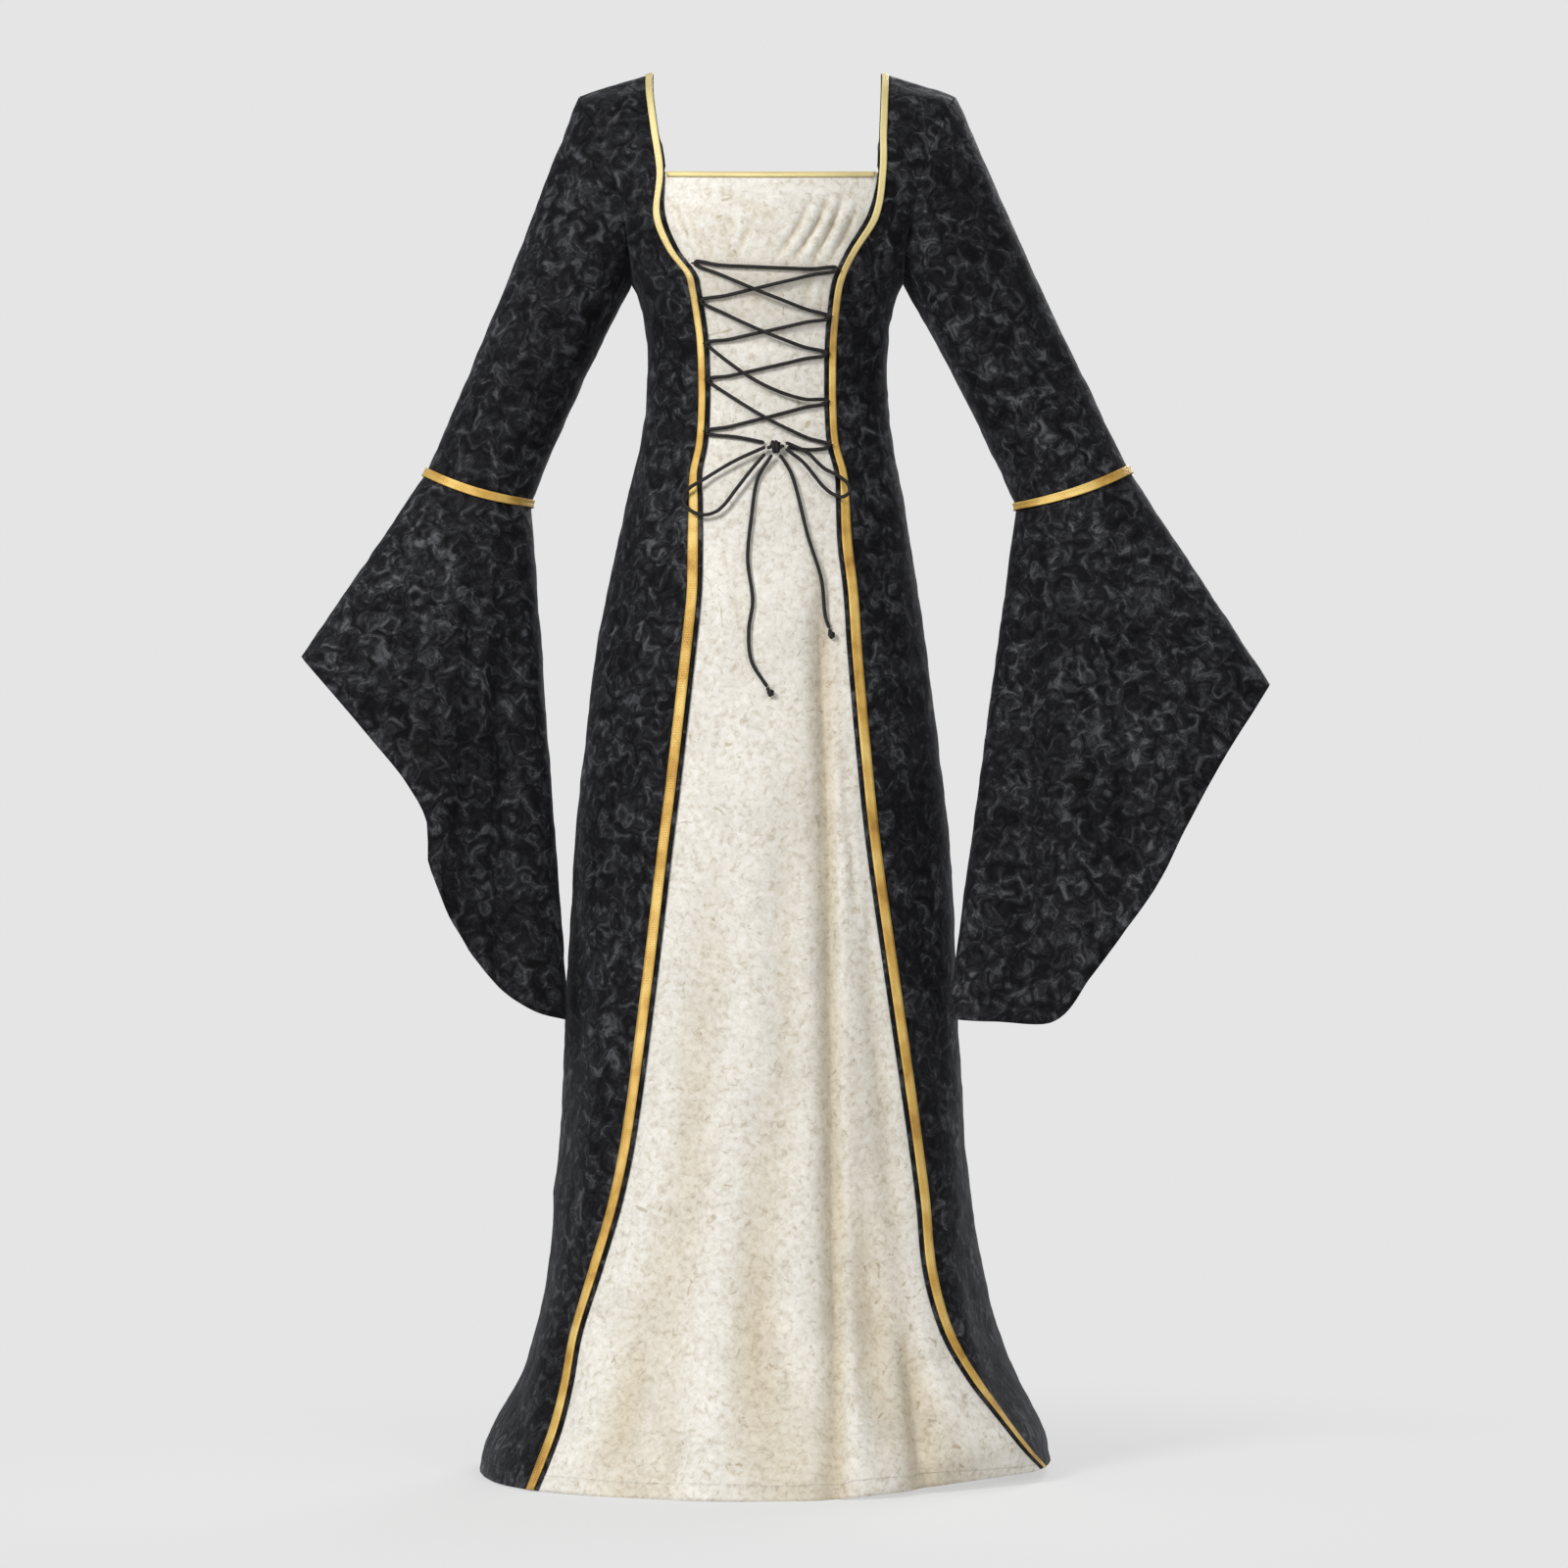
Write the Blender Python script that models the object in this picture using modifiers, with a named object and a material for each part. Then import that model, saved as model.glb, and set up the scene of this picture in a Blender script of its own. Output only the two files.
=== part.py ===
"""A floor-length medieval-style gown in the shape it has when worn, with nobody in it.

Metres, +Z up. The gown faces -Y and the wearer's left is +X. The origin is midway between the two
shoulder seams, at the height where the gown bears on the shoulders. Every cloth panel is an open
surface through sections of the gown, thickened outwards by Solidify.
"""

import math
from collections import namedtuple

import bmesh
import bpy
from mathutils import Vector
from mathutils.bvhtree import BVHTree

# Thicknesses, gaps and strip widths.
CLOTH = 0.0018
SEAM_GAP = 0.0003
LAYER_GAP = 0.0004
TRIM_THICKNESS = 0.0011
TRIM_GAP = 0.0004
BODICE_TRIM_WIDTH = 0.007
SKIRT_TRIM_WIDTH = 0.0105
NECK_MARGIN = 0.0006
OPENING_MARGIN = 0.0042
TOP_TRIM_WIDTH = 0.0055
ELBOW_TRIM_WIDTH = 0.010

# Counts of strips across and along the panels.
FRONT_STRIPS = 6
BACK_STRIPS = 16
STRAP_STRIPS = 3
STRIPS_BEFORE_FOLDS = 6
STRIPS_AT_FOLDS = 3
STRIPS_AFTER_FOLDS = 3
UPPER_ROWS = 6
NECKLINE_ROW = 3
SLEEVE_SIDES = 16
SLEEVE_RINGS = 7
BELL_SIDES = 36
BELL_RINGS = 10

# The body of the gown is a superellipse in every level section.
SQUARENESS = 2.15
SIDE_SEAM_AT_ARMPIT = math.radians(90)
SIDE_SEAM_AT_HEM = math.radians(107)

HEM = -1.412
ARMPIT = -0.200
WAIST = -0.370
HIP = -0.470
SHOULDER_NECK = 0.012
SHOULDER_POINT = -0.012

# One row for each level section, from the hem to the armpit. The trims' columns are the places of
# the gold trims' middles, measured from the centre front towards each side.
Section = namedtuple("Section", "height half_width front back trim_right trim_left")
SECTIONS = [
    Section(HEM, 0.2955, 0.268, 0.300, 0.236, 0.290),
    Section(-1.385, 0.2890, 0.257, 0.289, 0.225, 0.264),
    Section(-1.352, 0.2725, 0.232, 0.262, 0.213, 0.238),
    Section(-1.312, 0.2545, 0.208, 0.236, 0.203, 0.209),
    Section(-1.262, 0.2380, 0.190, 0.216, 0.194, 0.183),
    Section(-1.200, 0.2245, 0.175, 0.199, 0.175, 0.166),
    Section(-1.130, 0.2155, 0.163, 0.186, 0.155, 0.159),
    Section(-1.060, 0.2085, 0.154, 0.175, 0.141, 0.150),
    Section(-0.920, 0.2000, 0.141, 0.160, 0.122, 0.130),
    Section(-0.780, 0.1910, 0.132, 0.147, 0.105, 0.110),
    Section(-0.710, 0.1845, 0.128, 0.141, 0.096, 0.102),
    Section(-0.580, 0.1690, 0.118, 0.129, 0.081, 0.090),
    Section(-0.520, 0.1595, 0.113, 0.121, 0.075, 0.086),
    Section(HIP, 0.1505, 0.108, 0.113, 0.074, 0.080),
    Section(-0.430, 0.1428, 0.103, 0.104, 0.0735, 0.078),
    Section(-0.400, 0.1360, 0.099, 0.096, 0.0735, 0.076),
    Section(WAIST, 0.1300, 0.095, 0.088, 0.0675, 0.0680),
    Section(-0.335, 0.1250, 0.092, 0.081, 0.0652, 0.0655),
    Section(-0.300, 0.1230, 0.092, 0.079, 0.0652, 0.0652),
    Section(-0.265, 0.1232, 0.096, 0.083, 0.0668, 0.0660),
    Section(-0.235, 0.1275, 0.103, 0.089, 0.0708, 0.0686),
    Section(-0.213, 0.1335, 0.109, 0.094, 0.0746, 0.0716),
    Section(ARMPIT, 0.1400, 0.113, 0.098, 0.0780, 0.0755),
]

# One row for each line of the bodice above the armpit, up to the shoulder seam: the height and depth
# of the gown's neck edge in front, its places as above, and the same at the back.
Upper = namedtuple("Upper", "height depth trim_right trim_left back_height back_depth back_half")
UPPERS = [
    Upper(-0.174, 0.0920, 0.0965, 0.0880, -0.162, 0.068, 0.1140),
    Upper(-0.138, 0.0860, 0.1105, 0.1090, -0.113, 0.074, 0.1150),
    Upper(-0.095, 0.0790, 0.1075, 0.1160, -0.106, 0.074, 0.1150),
    Upper(-0.054, 0.0650, 0.1135, 0.1172, -0.058, 0.066, 0.1155),
    Upper(-0.014, 0.0360, 0.1190, 0.1190, -0.014, 0.038, 0.1165),
    Upper(SHOULDER_NECK, 0.0, 0.1205, 0.1200, SHOULDER_NECK, 0.0, 0.1170),
]

# How the bodice's rows bend between neck edge and armhole, as angles of an ellipse, from the armpit's
# row to the shoulder's.
NECK_BEND = (math.radians(32), math.radians(2))
ARMHOLE_BEND = (math.radians(90), math.radians(20))

# How far back the centre back stands at the neckline's lower edge and just below it.
BACK_MIDDLE = 0.0975

# How far forward the insert's middle stands on the rows above the armpit.
INSERT_FRONTS = [0.1150, 0.1130, 0.1040]
NECKLINE_SAG = 0.003

# The armhole is a closed curve about these middles and half sizes.
ARMHOLE_X = 0.1665
ARMHOLE_HALF_X = 0.0265
ARMHOLE_NOTCH = 0.012
ARMHOLE_HALF_DEPTH = 0.062
ARMHOLE_SLEEVE_GAP = 0.0042

# The gown hangs a little to the wearer's right, and its hem rises a little on the wearer's left.
LEAN = 0.0055
LEAN_EASE = 0.6
HEM_RISE = 0.010
HEM_RISE_REACH = 0.24
HEM_RISE_START = -1.20

# Two long folds of the insert's skirt: where each valley lies at the hip, at mid-length and at the hem.
Fold = namedtuple("Fold", "hip middle hem depth half_width")
INSERT_FOLDS = [
    Fold(0.060, 0.070, 0.075, 0.011, 0.010),
    Fold(0.071, 0.104, 0.160, 0.009, 0.010),
]
FOLD_MIDDLE = -0.900
FOLD_FROM_EDGE = 0.006
FOLDS_APART = 0.004
RIDGE_FROM_FOLD = 0.016
INSERT_FLUTE = 0.007
INSERT_FLUTES = 3
FRONT_FLUTE = 0.006
BACK_FLUTE = 0.013
BACK_FLUTES = 5

# Sleeves: the ends of the elbow seam and of the bell's hem line, as seen from the front.
Sleeve = namedtuple("Sleeve", "elbow_out elbow_in hem_out hem_in")
SLEEVES = {
    "right": Sleeve(
        Vector((-0.346, -0.004, -0.396)),
        Vector((-0.243, -0.004, -0.426)),
        Vector((-0.470, -0.050, -0.584)),
        Vector((-0.202, -0.060, -0.950)),
    ),
    "left": Sleeve(
        Vector((0.367, -0.004, -0.393)),
        Vector((0.256, -0.004, -0.429)),
        Vector((0.507, -0.050, -0.612)),
        Vector((0.183, -0.086, -0.948)),
    ),
}
ELBOW_HALF_DEPTH = 0.050
ELBOW_SAG = 0.006
BELL_HALF_DEPTH = 0.058
BELL_SQUARENESS = 2.5
BELL_FOLD = 0.011
BELL_FOLD_PITCH = 0.105
BELL_FRONT_PHASE = -1.2
BELL_BACK_PHASE = 1.1
BELL_FOLD_START = 0.12
BELL_FOLD_GAIN = 2.2
BELL_LAYER_EASE = 0.6
BELL_SWING_EASE = 1.5
BELL_RING_EASE = 1.15
BELL_SEAM_GAP = 0.0018
BAND_EASE = 0.0012
SLEEVE_WAIST = 0.06

# How far the bell's hem swings out past the straight line between its ends, by the share along it.
HemSwing = namedtuple("HemSwing", "share right left")
HEM_SWINGS = [
    HemSwing(0.00, 0.000, 0.000),
    HemSwing(0.16, -0.007, 0.0138),
    HemSwing(0.27, -0.0105, 0.0258),
    HemSwing(0.37, -0.0125, 0.0387),
    HemSwing(0.46, -0.007, 0.0525),
    HemSwing(0.54, 0.016, 0.0605),
    HemSwing(0.72, 0.0345, 0.070),
    HemSwing(0.85, 0.0345, 0.075),
    HemSwing(0.94, 0.020, 0.0315),
    HemSwing(1.00, 0.000, 0.000),
]

# The lace. Its lifts are heights of its middle above the cloth behind it.
LACE = 0.0036
ON_CLOTH = LACE / 2 + 0.0008
OVER_LACE = ON_CLOTH + LACE + 0.0007
LACE_FEELERS = [(0, 0), (-LACE, 0), (LACE, 0), (0, -LACE), (0, LACE)]
LACE_STEP = 0.0095
SPAN_POINTS = 5
GUIDE_INSET = 0.0023
GUIDE_TURN = 0.0023
GUIDE_BEND = 0.0016
TIP_CLEARANCE = 0.0006
LACE_SIDES = 2

# Heights of the turns of the lace at each edge of the opening.
TURNS_RIGHT = [-0.1897, -0.2271, -0.2694, -0.3058, -0.3579]
TURNS_LEFT = [-0.1956, -0.2428, -0.2792, -0.3274, -0.3717]

# The lace from the knot up and back down to it: the side and number of each turn, how far the span
# that ends there sags, and the shares of that span between which it passes over another. From the
# top span on, the lace runs down again.
Span = namedtuple("Span", "side turn sag over_from over_to")
SPANS = [
    Span("left", 3, 0.001, 0.0, 0.0),
    Span("right", 2, 0.014, 0.0, 1.0),
    Span("left", 1, 0.001, 0.0, 0.0),
    Span("right", 0, 0.003, 0.25, 0.75),
    Span("left", 0, 0.002, 0.0, 0.0),
    Span("right", 1, 0.001, 0.0, 0.0),
    Span("left", 2, 0.005, 0.2, 0.8),
    Span("right", 3, 0.001, 0.0, 0.0),
    Span("left", 4, 0.007, 0.2, 0.8),
]

TOP_SPAN = 4
LACING_START = [(-0.0025, -0.3690, ON_CLOTH), (-0.0300, -0.3635, ON_CLOTH)]
LACING_END = [(0.0400, -0.3760, ON_CLOTH), (0.0200, -0.3735, ON_CLOTH)]

KNOT_PLACE = (0.0085, -0.3735)
KNOT_HALF = (0.0095, 0.0056, 0.0068)
KNOT_LIFT = 0.0062
TIP_HALF = (0.0036, 0.0036, 0.0042)

# The bow's loops and tails: x, z and lift along each.
LOOP_RIGHT = [
    (-0.0014, -0.3735, KNOT_LIFT),
    (-0.0330, -0.3880, OVER_LACE),
    (-0.0637, -0.4061, OVER_LACE),
    (-0.0794, -0.4160, OVER_LACE),
    (-0.0845, -0.4255, OVER_LACE),
    (-0.0794, -0.4356, OVER_LACE),
    (-0.0640, -0.4420, OVER_LACE),
    (-0.0479, -0.4366, OVER_LACE),
    (-0.0300, -0.4150, OVER_LACE),
    (-0.0155, -0.3963, OVER_LACE),
    (-0.0020, -0.3805, OVER_LACE),
]
LOOP_LEFT = [
    (0.0184, -0.3755, KNOT_LIFT),
    (0.0357, -0.3885, OVER_LACE),
    (0.0603, -0.4170, OVER_LACE),
    (0.0770, -0.4238, OVER_LACE),
    (0.0835, -0.4150, OVER_LACE),
    (0.0740, -0.4040, OVER_LACE),
    (0.0560, -0.3940, OVER_LACE),
    (0.0400, -0.3790, OVER_LACE),
    (0.0184, -0.3690, KNOT_LIFT),
]
TAIL_RIGHT = [
    (0.0050, -0.3812, KNOT_LIFT),
    (-0.0095, -0.4060, ON_CLOTH),
    (-0.0155, -0.4425, ON_CLOTH),
    (-0.0194, -0.4868, ON_CLOTH),
    (-0.0145, -0.5281, ON_CLOTH),
    (-0.0184, -0.5586, ON_CLOTH),
    (-0.0155, -0.5891, ON_CLOTH),
    (0.0003, -0.6150, ON_CLOTH),
]
TAIL_LEFT = [
    (0.0125, -0.3812, KNOT_LIFT),
    (0.0235, -0.3985, ON_CLOTH),
    (0.0308, -0.4218, ON_CLOTH),
    (0.0406, -0.4622, ON_CLOTH),
    (0.0544, -0.5064, ON_CLOTH),
    (0.0583, -0.5428, ON_CLOTH),
    (0.0625, -0.5560, ON_CLOTH),
]
TIP_PLACES = {"right": (0.0035, -0.6205), "left": (0.0645, -0.5622)}
LOOP_ROUTES = {"right": LOOP_RIGHT, "left": LOOP_LEFT}
TAIL_ROUTES = {"right": TAIL_RIGHT, "left": TAIL_LEFT}

MATERIALS = {
    "black_velvet": ((0.030, 0.030, 0.034), 0.75, 0.0),
    "ivory_velvet": ((0.740, 0.700, 0.620), 0.70, 0.0),
    "gold_trim": ((0.640, 0.430, 0.130), 0.40, 0.25),
    "black_lace": ((0.020, 0.018, 0.018), 0.60, 0.0),
}


def clear_scene():
    for item in list(bpy.data.objects):
        bpy.data.objects.remove(item)


def material(name):
    found = bpy.data.materials.get(name)
    if found:
        return found
    colour, roughness, metallic = MATERIALS[name]
    made = bpy.data.materials.new(name)
    made.use_nodes = True
    shader = made.node_tree.nodes["Principled BSDF"]
    shader.inputs["Base Color"].default_value = (*colour, 1.0)
    shader.inputs["Roughness"].default_value = roughness
    shader.inputs["Metallic"].default_value = metallic
    return made


def mix(a, b, share):
    return a + (b - a) * share


def rise(value, start, end):
    """0 before start, 1 past end, and a smooth step between. End may lie below start."""
    share = min(max((value - start) / (end - start), 0.0), 1.0)
    return share * share * (3 - 2 * share)


def power(value, exponent):
    return math.copysign(abs(value) ** exponent, value)


def smooth_read(keys, values, at):
    """The value at a key, on a smooth curve through all the values."""
    at = min(max(at, keys[0]), keys[-1])
    last = len(keys) - 1
    i = next((k for k in range(last) if at <= keys[k + 1]), last - 1)

    def slope(k):
        low, high = max(k - 1, 0), min(k + 1, last)
        return (values[high] - values[low]) / (keys[high] - keys[low])

    span = keys[i + 1] - keys[i]
    t = (at - keys[i]) / span
    return (
        values[i] * (2 * t**3 - 3 * t**2 + 1)
        + values[i + 1] * (3 * t**2 - 2 * t**3)
        + slope(i) * span * (t**3 - 2 * t**2 + t)
        + slope(i + 1) * span * (t**3 - t**2)
    )


def link(item, collection, material_name):
    collection.objects.link(item)
    item.data.materials.append(material(material_name))
    return item


def grid_mesh(name, rows, closed=False, keep=None):
    """A surface through rows of points. Its faces look outwards where rows go up and points go left."""
    across = len(rows[0])
    points = [p for row in rows for p in row]
    strips = across if closed else across - 1
    faces = []
    for j in range(len(rows) - 1):
        for i in range(strips):
            if keep and not keep(i, j):
                continue
            k = (i + 1) % across
            low, high = j * across, (j + 1) * across
            faces.append((low + i, low + k, high + k, high + i))
    used = sorted({v for face in faces for v in face})
    place = {v: n for n, v in enumerate(used)}
    mesh = bpy.data.meshes.new(name)
    mesh.from_pydata([points[v] for v in used], [], [[place[v] for v in face] for face in faces])
    mesh.update()
    return mesh


def cloth(name, rows, collection, material_name, thickness=CLOTH, closed=False, keep=None):
    """A panel: an open surface on the wall's inner face, thickened outwards."""
    item = bpy.data.objects.new(name, grid_mesh(name, rows, closed, keep))
    wall = item.modifiers.new("wall", "SOLIDIFY")
    wall.thickness = thickness
    wall.offset = 1.0
    item.data.shade_smooth()
    return link(item, collection, material_name)


def normals_of(rows, closed=False):
    """Outward normals of a grid of rows, one for each point."""
    found = []
    last = len(rows[0]) - 1
    for j, row in enumerate(rows):
        line = []
        for i in range(last + 1):
            after = (i + 1) % (last + 1) if closed else min(i + 1, last)
            before = i - 1 if closed else max(i - 1, 0)
            up = rows[min(j + 1, len(rows) - 1)][i] - rows[max(j - 1, 0)][i]
            line.append((row[after] - row[before]).cross(up).normalized())
        found.append(line)
    return found


def moved_out(rows, distance, closed=False):
    return [
        [p + n * distance for p, n in zip(row, line)]
        for row, line in zip(rows, normals_of(rows, closed))
    ]


def at_distances(curve, distances, count, shorter=0.0):
    """Points of a curve(0..1) at given distances from its start, then count even strips to its end."""
    fine = [curve(k / 60) for k in range(61)]
    run = [0.0]
    for a, b in zip(fine, fine[1:]):
        run.append(run[-1] + (b - a).length)
    start, end = distances[-1], run[-1] - shorter
    wanted = distances + [mix(start, end, (k + 1) / count) for k in range(count)]
    points = []
    for distance in wanted:
        k = next((n for n in range(60) if distance <= run[n + 1]), 59)
        points.append(mix(fine[k], fine[k + 1], (distance - run[k]) / (run[k + 1] - run[k])))
    return points


def side_seam(height):
    share = rise(height, WAIST, HEM)
    return mix(SIDE_SEAM_AT_ARMPIT, SIDE_SEAM_AT_HEM, share)


def flute(height, angle):
    """How far the overdress stands out in the soft flutes of its skirt. It is nil at the side seams."""
    swell = rise(height, HIP, HEM)
    seam = side_seam(height)
    if angle < seam:
        return -FRONT_FLUTE * swell * math.sin(2 * math.pi * angle / seam) ** 2
    share = (angle - seam) / (math.pi - seam)
    return -BACK_FLUTE * swell * math.sin(math.pi * share * BACK_FLUTES / 2) ** 2


def form(section, angle):
    """A point on the inner face of the overdress. Angle 0 is the centre front, pi the centre back."""
    sine, cosine = math.sin(angle), math.cos(angle)
    depth = section.front if cosine > 0 else section.back
    out = flute(section.height, angle)
    x = (section.half_width - CLOTH + out) * power(sine, 2 / SQUARENESS)
    y = -(depth - CLOTH + out) * power(cosine, 2 / SQUARENESS)
    return Vector((x, y, section.height))


def angle_at(section, x):
    return math.asin(min(x / (section.half_width - CLOTH), 1.0) ** (SQUARENESS / 2))


def armhole(turn):
    """The armhole of the wearer's left: turn 0 is the shoulder point, pi / 2 its front, pi the armpit."""
    middle = (SHOULDER_POINT + ARMPIT) / 2
    half = (SHOULDER_POINT - ARMPIT) / 2
    x = ARMHOLE_X + ARMHOLE_HALF_X * math.cos(turn) - ARMHOLE_NOTCH * math.sin(turn) ** 2 - CLOTH
    return Vector((x, -ARMHOLE_HALF_DEPTH * math.sin(turn), middle + half * math.cos(turn)))


def arc(start, end, first, last):
    """A curve between two points that bends as an ellipse does between two of its angles."""

    def point(share):
        angle = mix(first, last, share)
        across = (math.sin(angle) - math.sin(first)) / (math.sin(last) - math.sin(first))
        back = (math.cos(first) - math.cos(angle)) / (math.cos(first) - math.cos(last))
        return Vector(
            (mix(start.x, end.x, across), mix(start.y, end.y, back), mix(start.z, end.z, share))
        )

    return point


def mirrored(point, side):
    return Vector((point.x * side, point.y, point.z))


def lean(height):
    return LEAN * rise(height, -0.30, -0.60) * (1 - LEAN_EASE * rise(height, -0.90, -1.30))


def settled(point):
    """The point where it hangs once the gown leans and its hem rises on one side."""
    lifted = HEM_RISE * rise(point.x, 0, HEM_RISE_REACH) * rise(point.z, HEM_RISE_START, HEM)
    return Vector((point.x - lean(point.z), point.y, point.z + lifted))


def trim_width(height):
    return mix(BODICE_TRIM_WIDTH, SKIRT_TRIM_WIDTH, rise(height, WAIST, HIP))


def upper_share(k):
    return (k + 1) / UPPER_ROWS


def front_rows(side):
    """Rows of the front panel from the opening to the side seam, from the hem to the shoulder."""
    rows = []
    for section in SECTIONS:
        middle = section.trim_left if side > 0 else section.trim_right
        middle += side * lean(section.height)
        width = trim_width(section.height)
        edge = middle - width / 2 - OPENING_MARGIN
        first, last = angle_at(section, edge), side_seam(section.height)
        curve = lambda share: form(section, mix(first, last, share))
        cuts = [0.0, OPENING_MARGIN, OPENING_MARGIN + width]
        rows.append(at_distances(curve, cuts, FRONT_STRIPS, SEAM_GAP))
    for k, upper in enumerate(UPPERS):
        share = upper_share(k)
        margin = NECK_MARGIN if k >= NECKLINE_ROW - 1 else OPENING_MARGIN
        middle = upper.trim_left if side > 0 else upper.trim_right
        edge = middle - BODICE_TRIM_WIDTH / 2 - margin
        start = Vector((edge, -upper.depth, upper.height))
        end = armhole(math.pi * (1 - share))
        if k == len(UPPERS) - 1:
            start.y = end.y = -SEAM_GAP
        first, last = mix(*NECK_BEND, share), mix(*ARMHOLE_BEND, share)
        cuts = [0.0, margin, margin + BODICE_TRIM_WIDTH]
        rows.append(at_distances(arc(start, end, first, last), cuts, FRONT_STRIPS))
    return [[settled(mirrored(p, side)) for p in row] for row in rows]


def back_half(height_row):
    """One back row, from the wearer's left side to the centre back, or to the neck edge on a strap."""
    if height_row < len(SECTIONS):
        section = SECTIONS[height_row]
        curve = lambda share: form(section, mix(side_seam(section.height), math.pi, share))
        return at_distances(curve, [SEAM_GAP / 2], BACK_STRIPS // 2)
    k = height_row - len(SECTIONS)
    upper = UPPERS[k]
    share = upper_share(k)
    start = armhole(math.pi * (1 + share))
    neck = Vector((upper.back_half, upper.back_depth, upper.back_height))
    if k == len(UPPERS) - 1:
        start.y = neck.y = SEAM_GAP
    first, last = mix(*NECK_BEND, share), mix(*ARMHOLE_BEND, share)
    strap = at_distances(arc(neck, start, first, last), [0.0, BODICE_TRIM_WIDTH], STRAP_STRIPS - 1)
    strap.reverse()
    middle_strips = BACK_STRIPS // 2 - STRAP_STRIPS
    middle = []
    for i in range(1, middle_strips + 1):
        reach = 1 - i / middle_strips
        depth = mix(BACK_MIDDLE, neck.y, reach**SQUARENESS)
        middle.append(Vector((neck.x * reach, depth, neck.z)))
    return strap + middle


def back_rows():
    """Rows of the back from the wearer's left to right, so that its faces look backwards."""
    rows = []
    for j in range(len(SECTIONS) + len(UPPERS)):
        half = back_half(j)
        row = half + [mirrored(p, -1) for p in reversed(half[:-1])]
        rows.append([settled(p) for p in row])
    return rows


def insert_stations(height, right, left):
    """Places across the insert between the two openings, with its folds' valleys among them."""
    strips = STRIPS_BEFORE_FOLDS + STRIPS_AT_FOLDS + STRIPS_AFTER_FOLDS
    even = [mix(right, left, k / strips) for k in range(strips + 1)]
    second = min(fold_place(INSERT_FOLDS[1], height), left - FOLD_FROM_EDGE)
    first = min(fold_place(INSERT_FOLDS[0], height), second - FOLDS_APART)
    ridge = first - RIDGE_FROM_FOLD
    pinned = [mix(right, ridge, k / STRIPS_BEFORE_FOLDS) for k in range(STRIPS_BEFORE_FOLDS + 1)]
    pinned += [first, (first + second) / 2, second]
    pinned += [mix(second, left, (k + 1) / STRIPS_AFTER_FOLDS) for k in range(STRIPS_AFTER_FOLDS)]
    pull = rise(height, WAIST, HIP - 0.06)
    return [mix(a, b, pull) for a, b in zip(even, pinned)]


def fold_place(fold, height):
    if height > FOLD_MIDDLE:
        return mix(fold.middle, fold.hip, rise(height, FOLD_MIDDLE, HIP))
    return mix(fold.middle, fold.hem, (height - FOLD_MIDDLE) / (HEM - FOLD_MIDDLE))


def insert_relief(height, x, right, left):
    """How far the insert's skirt stands back from its smooth form, in its folds and flutes."""
    depth = 0.0
    for fold in INSERT_FOLDS:
        off = (x - fold_place(fold, height)) / fold.half_width
        depth += fold.depth * math.exp(-off * off) * rise(height, HIP + 0.02, HIP - 0.15)
    share = (x - right) / (left - right)
    swell = rise(height, -0.75, HEM)
    depth += INSERT_FLUTE * swell * math.sin(math.pi * share * INSERT_FLUTES) ** 2
    return depth * min(1.0, 6 * share, 6 * (1 - share))


def insert_rows(front_right, front_left):
    """Rows of the ivory insert. It runs under both fronts as far as the trims' far edges."""
    drop = CLOTH + LAYER_GAP
    under_right = moved_out(front_right, drop)
    under_left = moved_out(front_left, -drop)
    fronts = [s.front - CLOTH - drop for s in SECTIONS] + [f - CLOTH - drop for f in INSERT_FRONTS]
    rows = []
    for j, front in enumerate(fronts):
        right, left = under_right[j][0], under_left[j][0]
        line = []
        for x in insert_stations(right.z, right.x, left.x):
            end = left if x > 0 else right
            reach = min(abs(x / end.x), 1.0)
            depth = mix(front, -end.y, reach ** SQUARENESS)
            sag = NECKLINE_SAG * (1 - reach**2) if j >= len(SECTIONS) + 1 else 0.0
            depth -= insert_relief(right.z, x, right.x, left.x)
            height = mix(right.z, left.z, rise(x, 0, left.x))
            line.append(Vector((x, -depth, height - sag)))
        line[0], line[-1] = right, left
        under = [under_right[j][2], under_right[j][1]]
        rows.append(under + line + [under_left[j][1], under_left[j][2]])
    top, below = rows[-1], rows[-2]
    share = TOP_TRIM_WIDTH / (top[len(top) // 2] - below[len(top) // 2]).length
    rows.insert(-1, [mix(a, b, share) for a, b in zip(top, below)])
    return rows


def oval(out, under, half_depth, turn, squareness):
    """A point of the closed ring between an outer and an under point, turning through its front."""
    middle = (out + under) / 2
    along = (out - under) / 2 * power(math.cos(turn), 2 / squareness)
    return middle + along + Vector((0, -half_depth * power(math.sin(turn), 2 / squareness), 0))


def elbow_ring(sleeve, turn):
    """The elbow seam sags a little across its front and its back."""
    point = oval(sleeve.elbow_out, sleeve.elbow_in, ELBOW_HALF_DEPTH, turn, 2)
    point.z -= ELBOW_SAG * math.sin(turn) ** 2
    return point


def sleeve_turns(sides, side):
    """Turns around a sleeve, in the order that makes its faces look outwards."""
    return [-side * 2 * math.pi * k / sides for k in range(sides)]


def side_of(name):
    return 1 if name == "left" else -1


def upper_point(name, turn, share):
    """A point of the upper sleeve: share 0 is the elbow seam and 1 the armhole."""
    sleeve, side = SLEEVES[name], side_of(name)
    high = mirrored(armhole(turn), side)
    high.x += side * mix(SEAM_GAP, ARMHOLE_SLEEVE_GAP, (1 - math.cos(turn)) / 2)
    middle = mix(
        (sleeve.elbow_out + sleeve.elbow_in) / 2,
        mirrored((armhole(0) + armhole(math.pi)) / 2, side),
        share,
    )
    slim = 1 - SLEEVE_WAIST * math.sin(math.pi * share)
    return middle + (mix(elbow_ring(sleeve, turn), high, share) - middle) * slim


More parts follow.
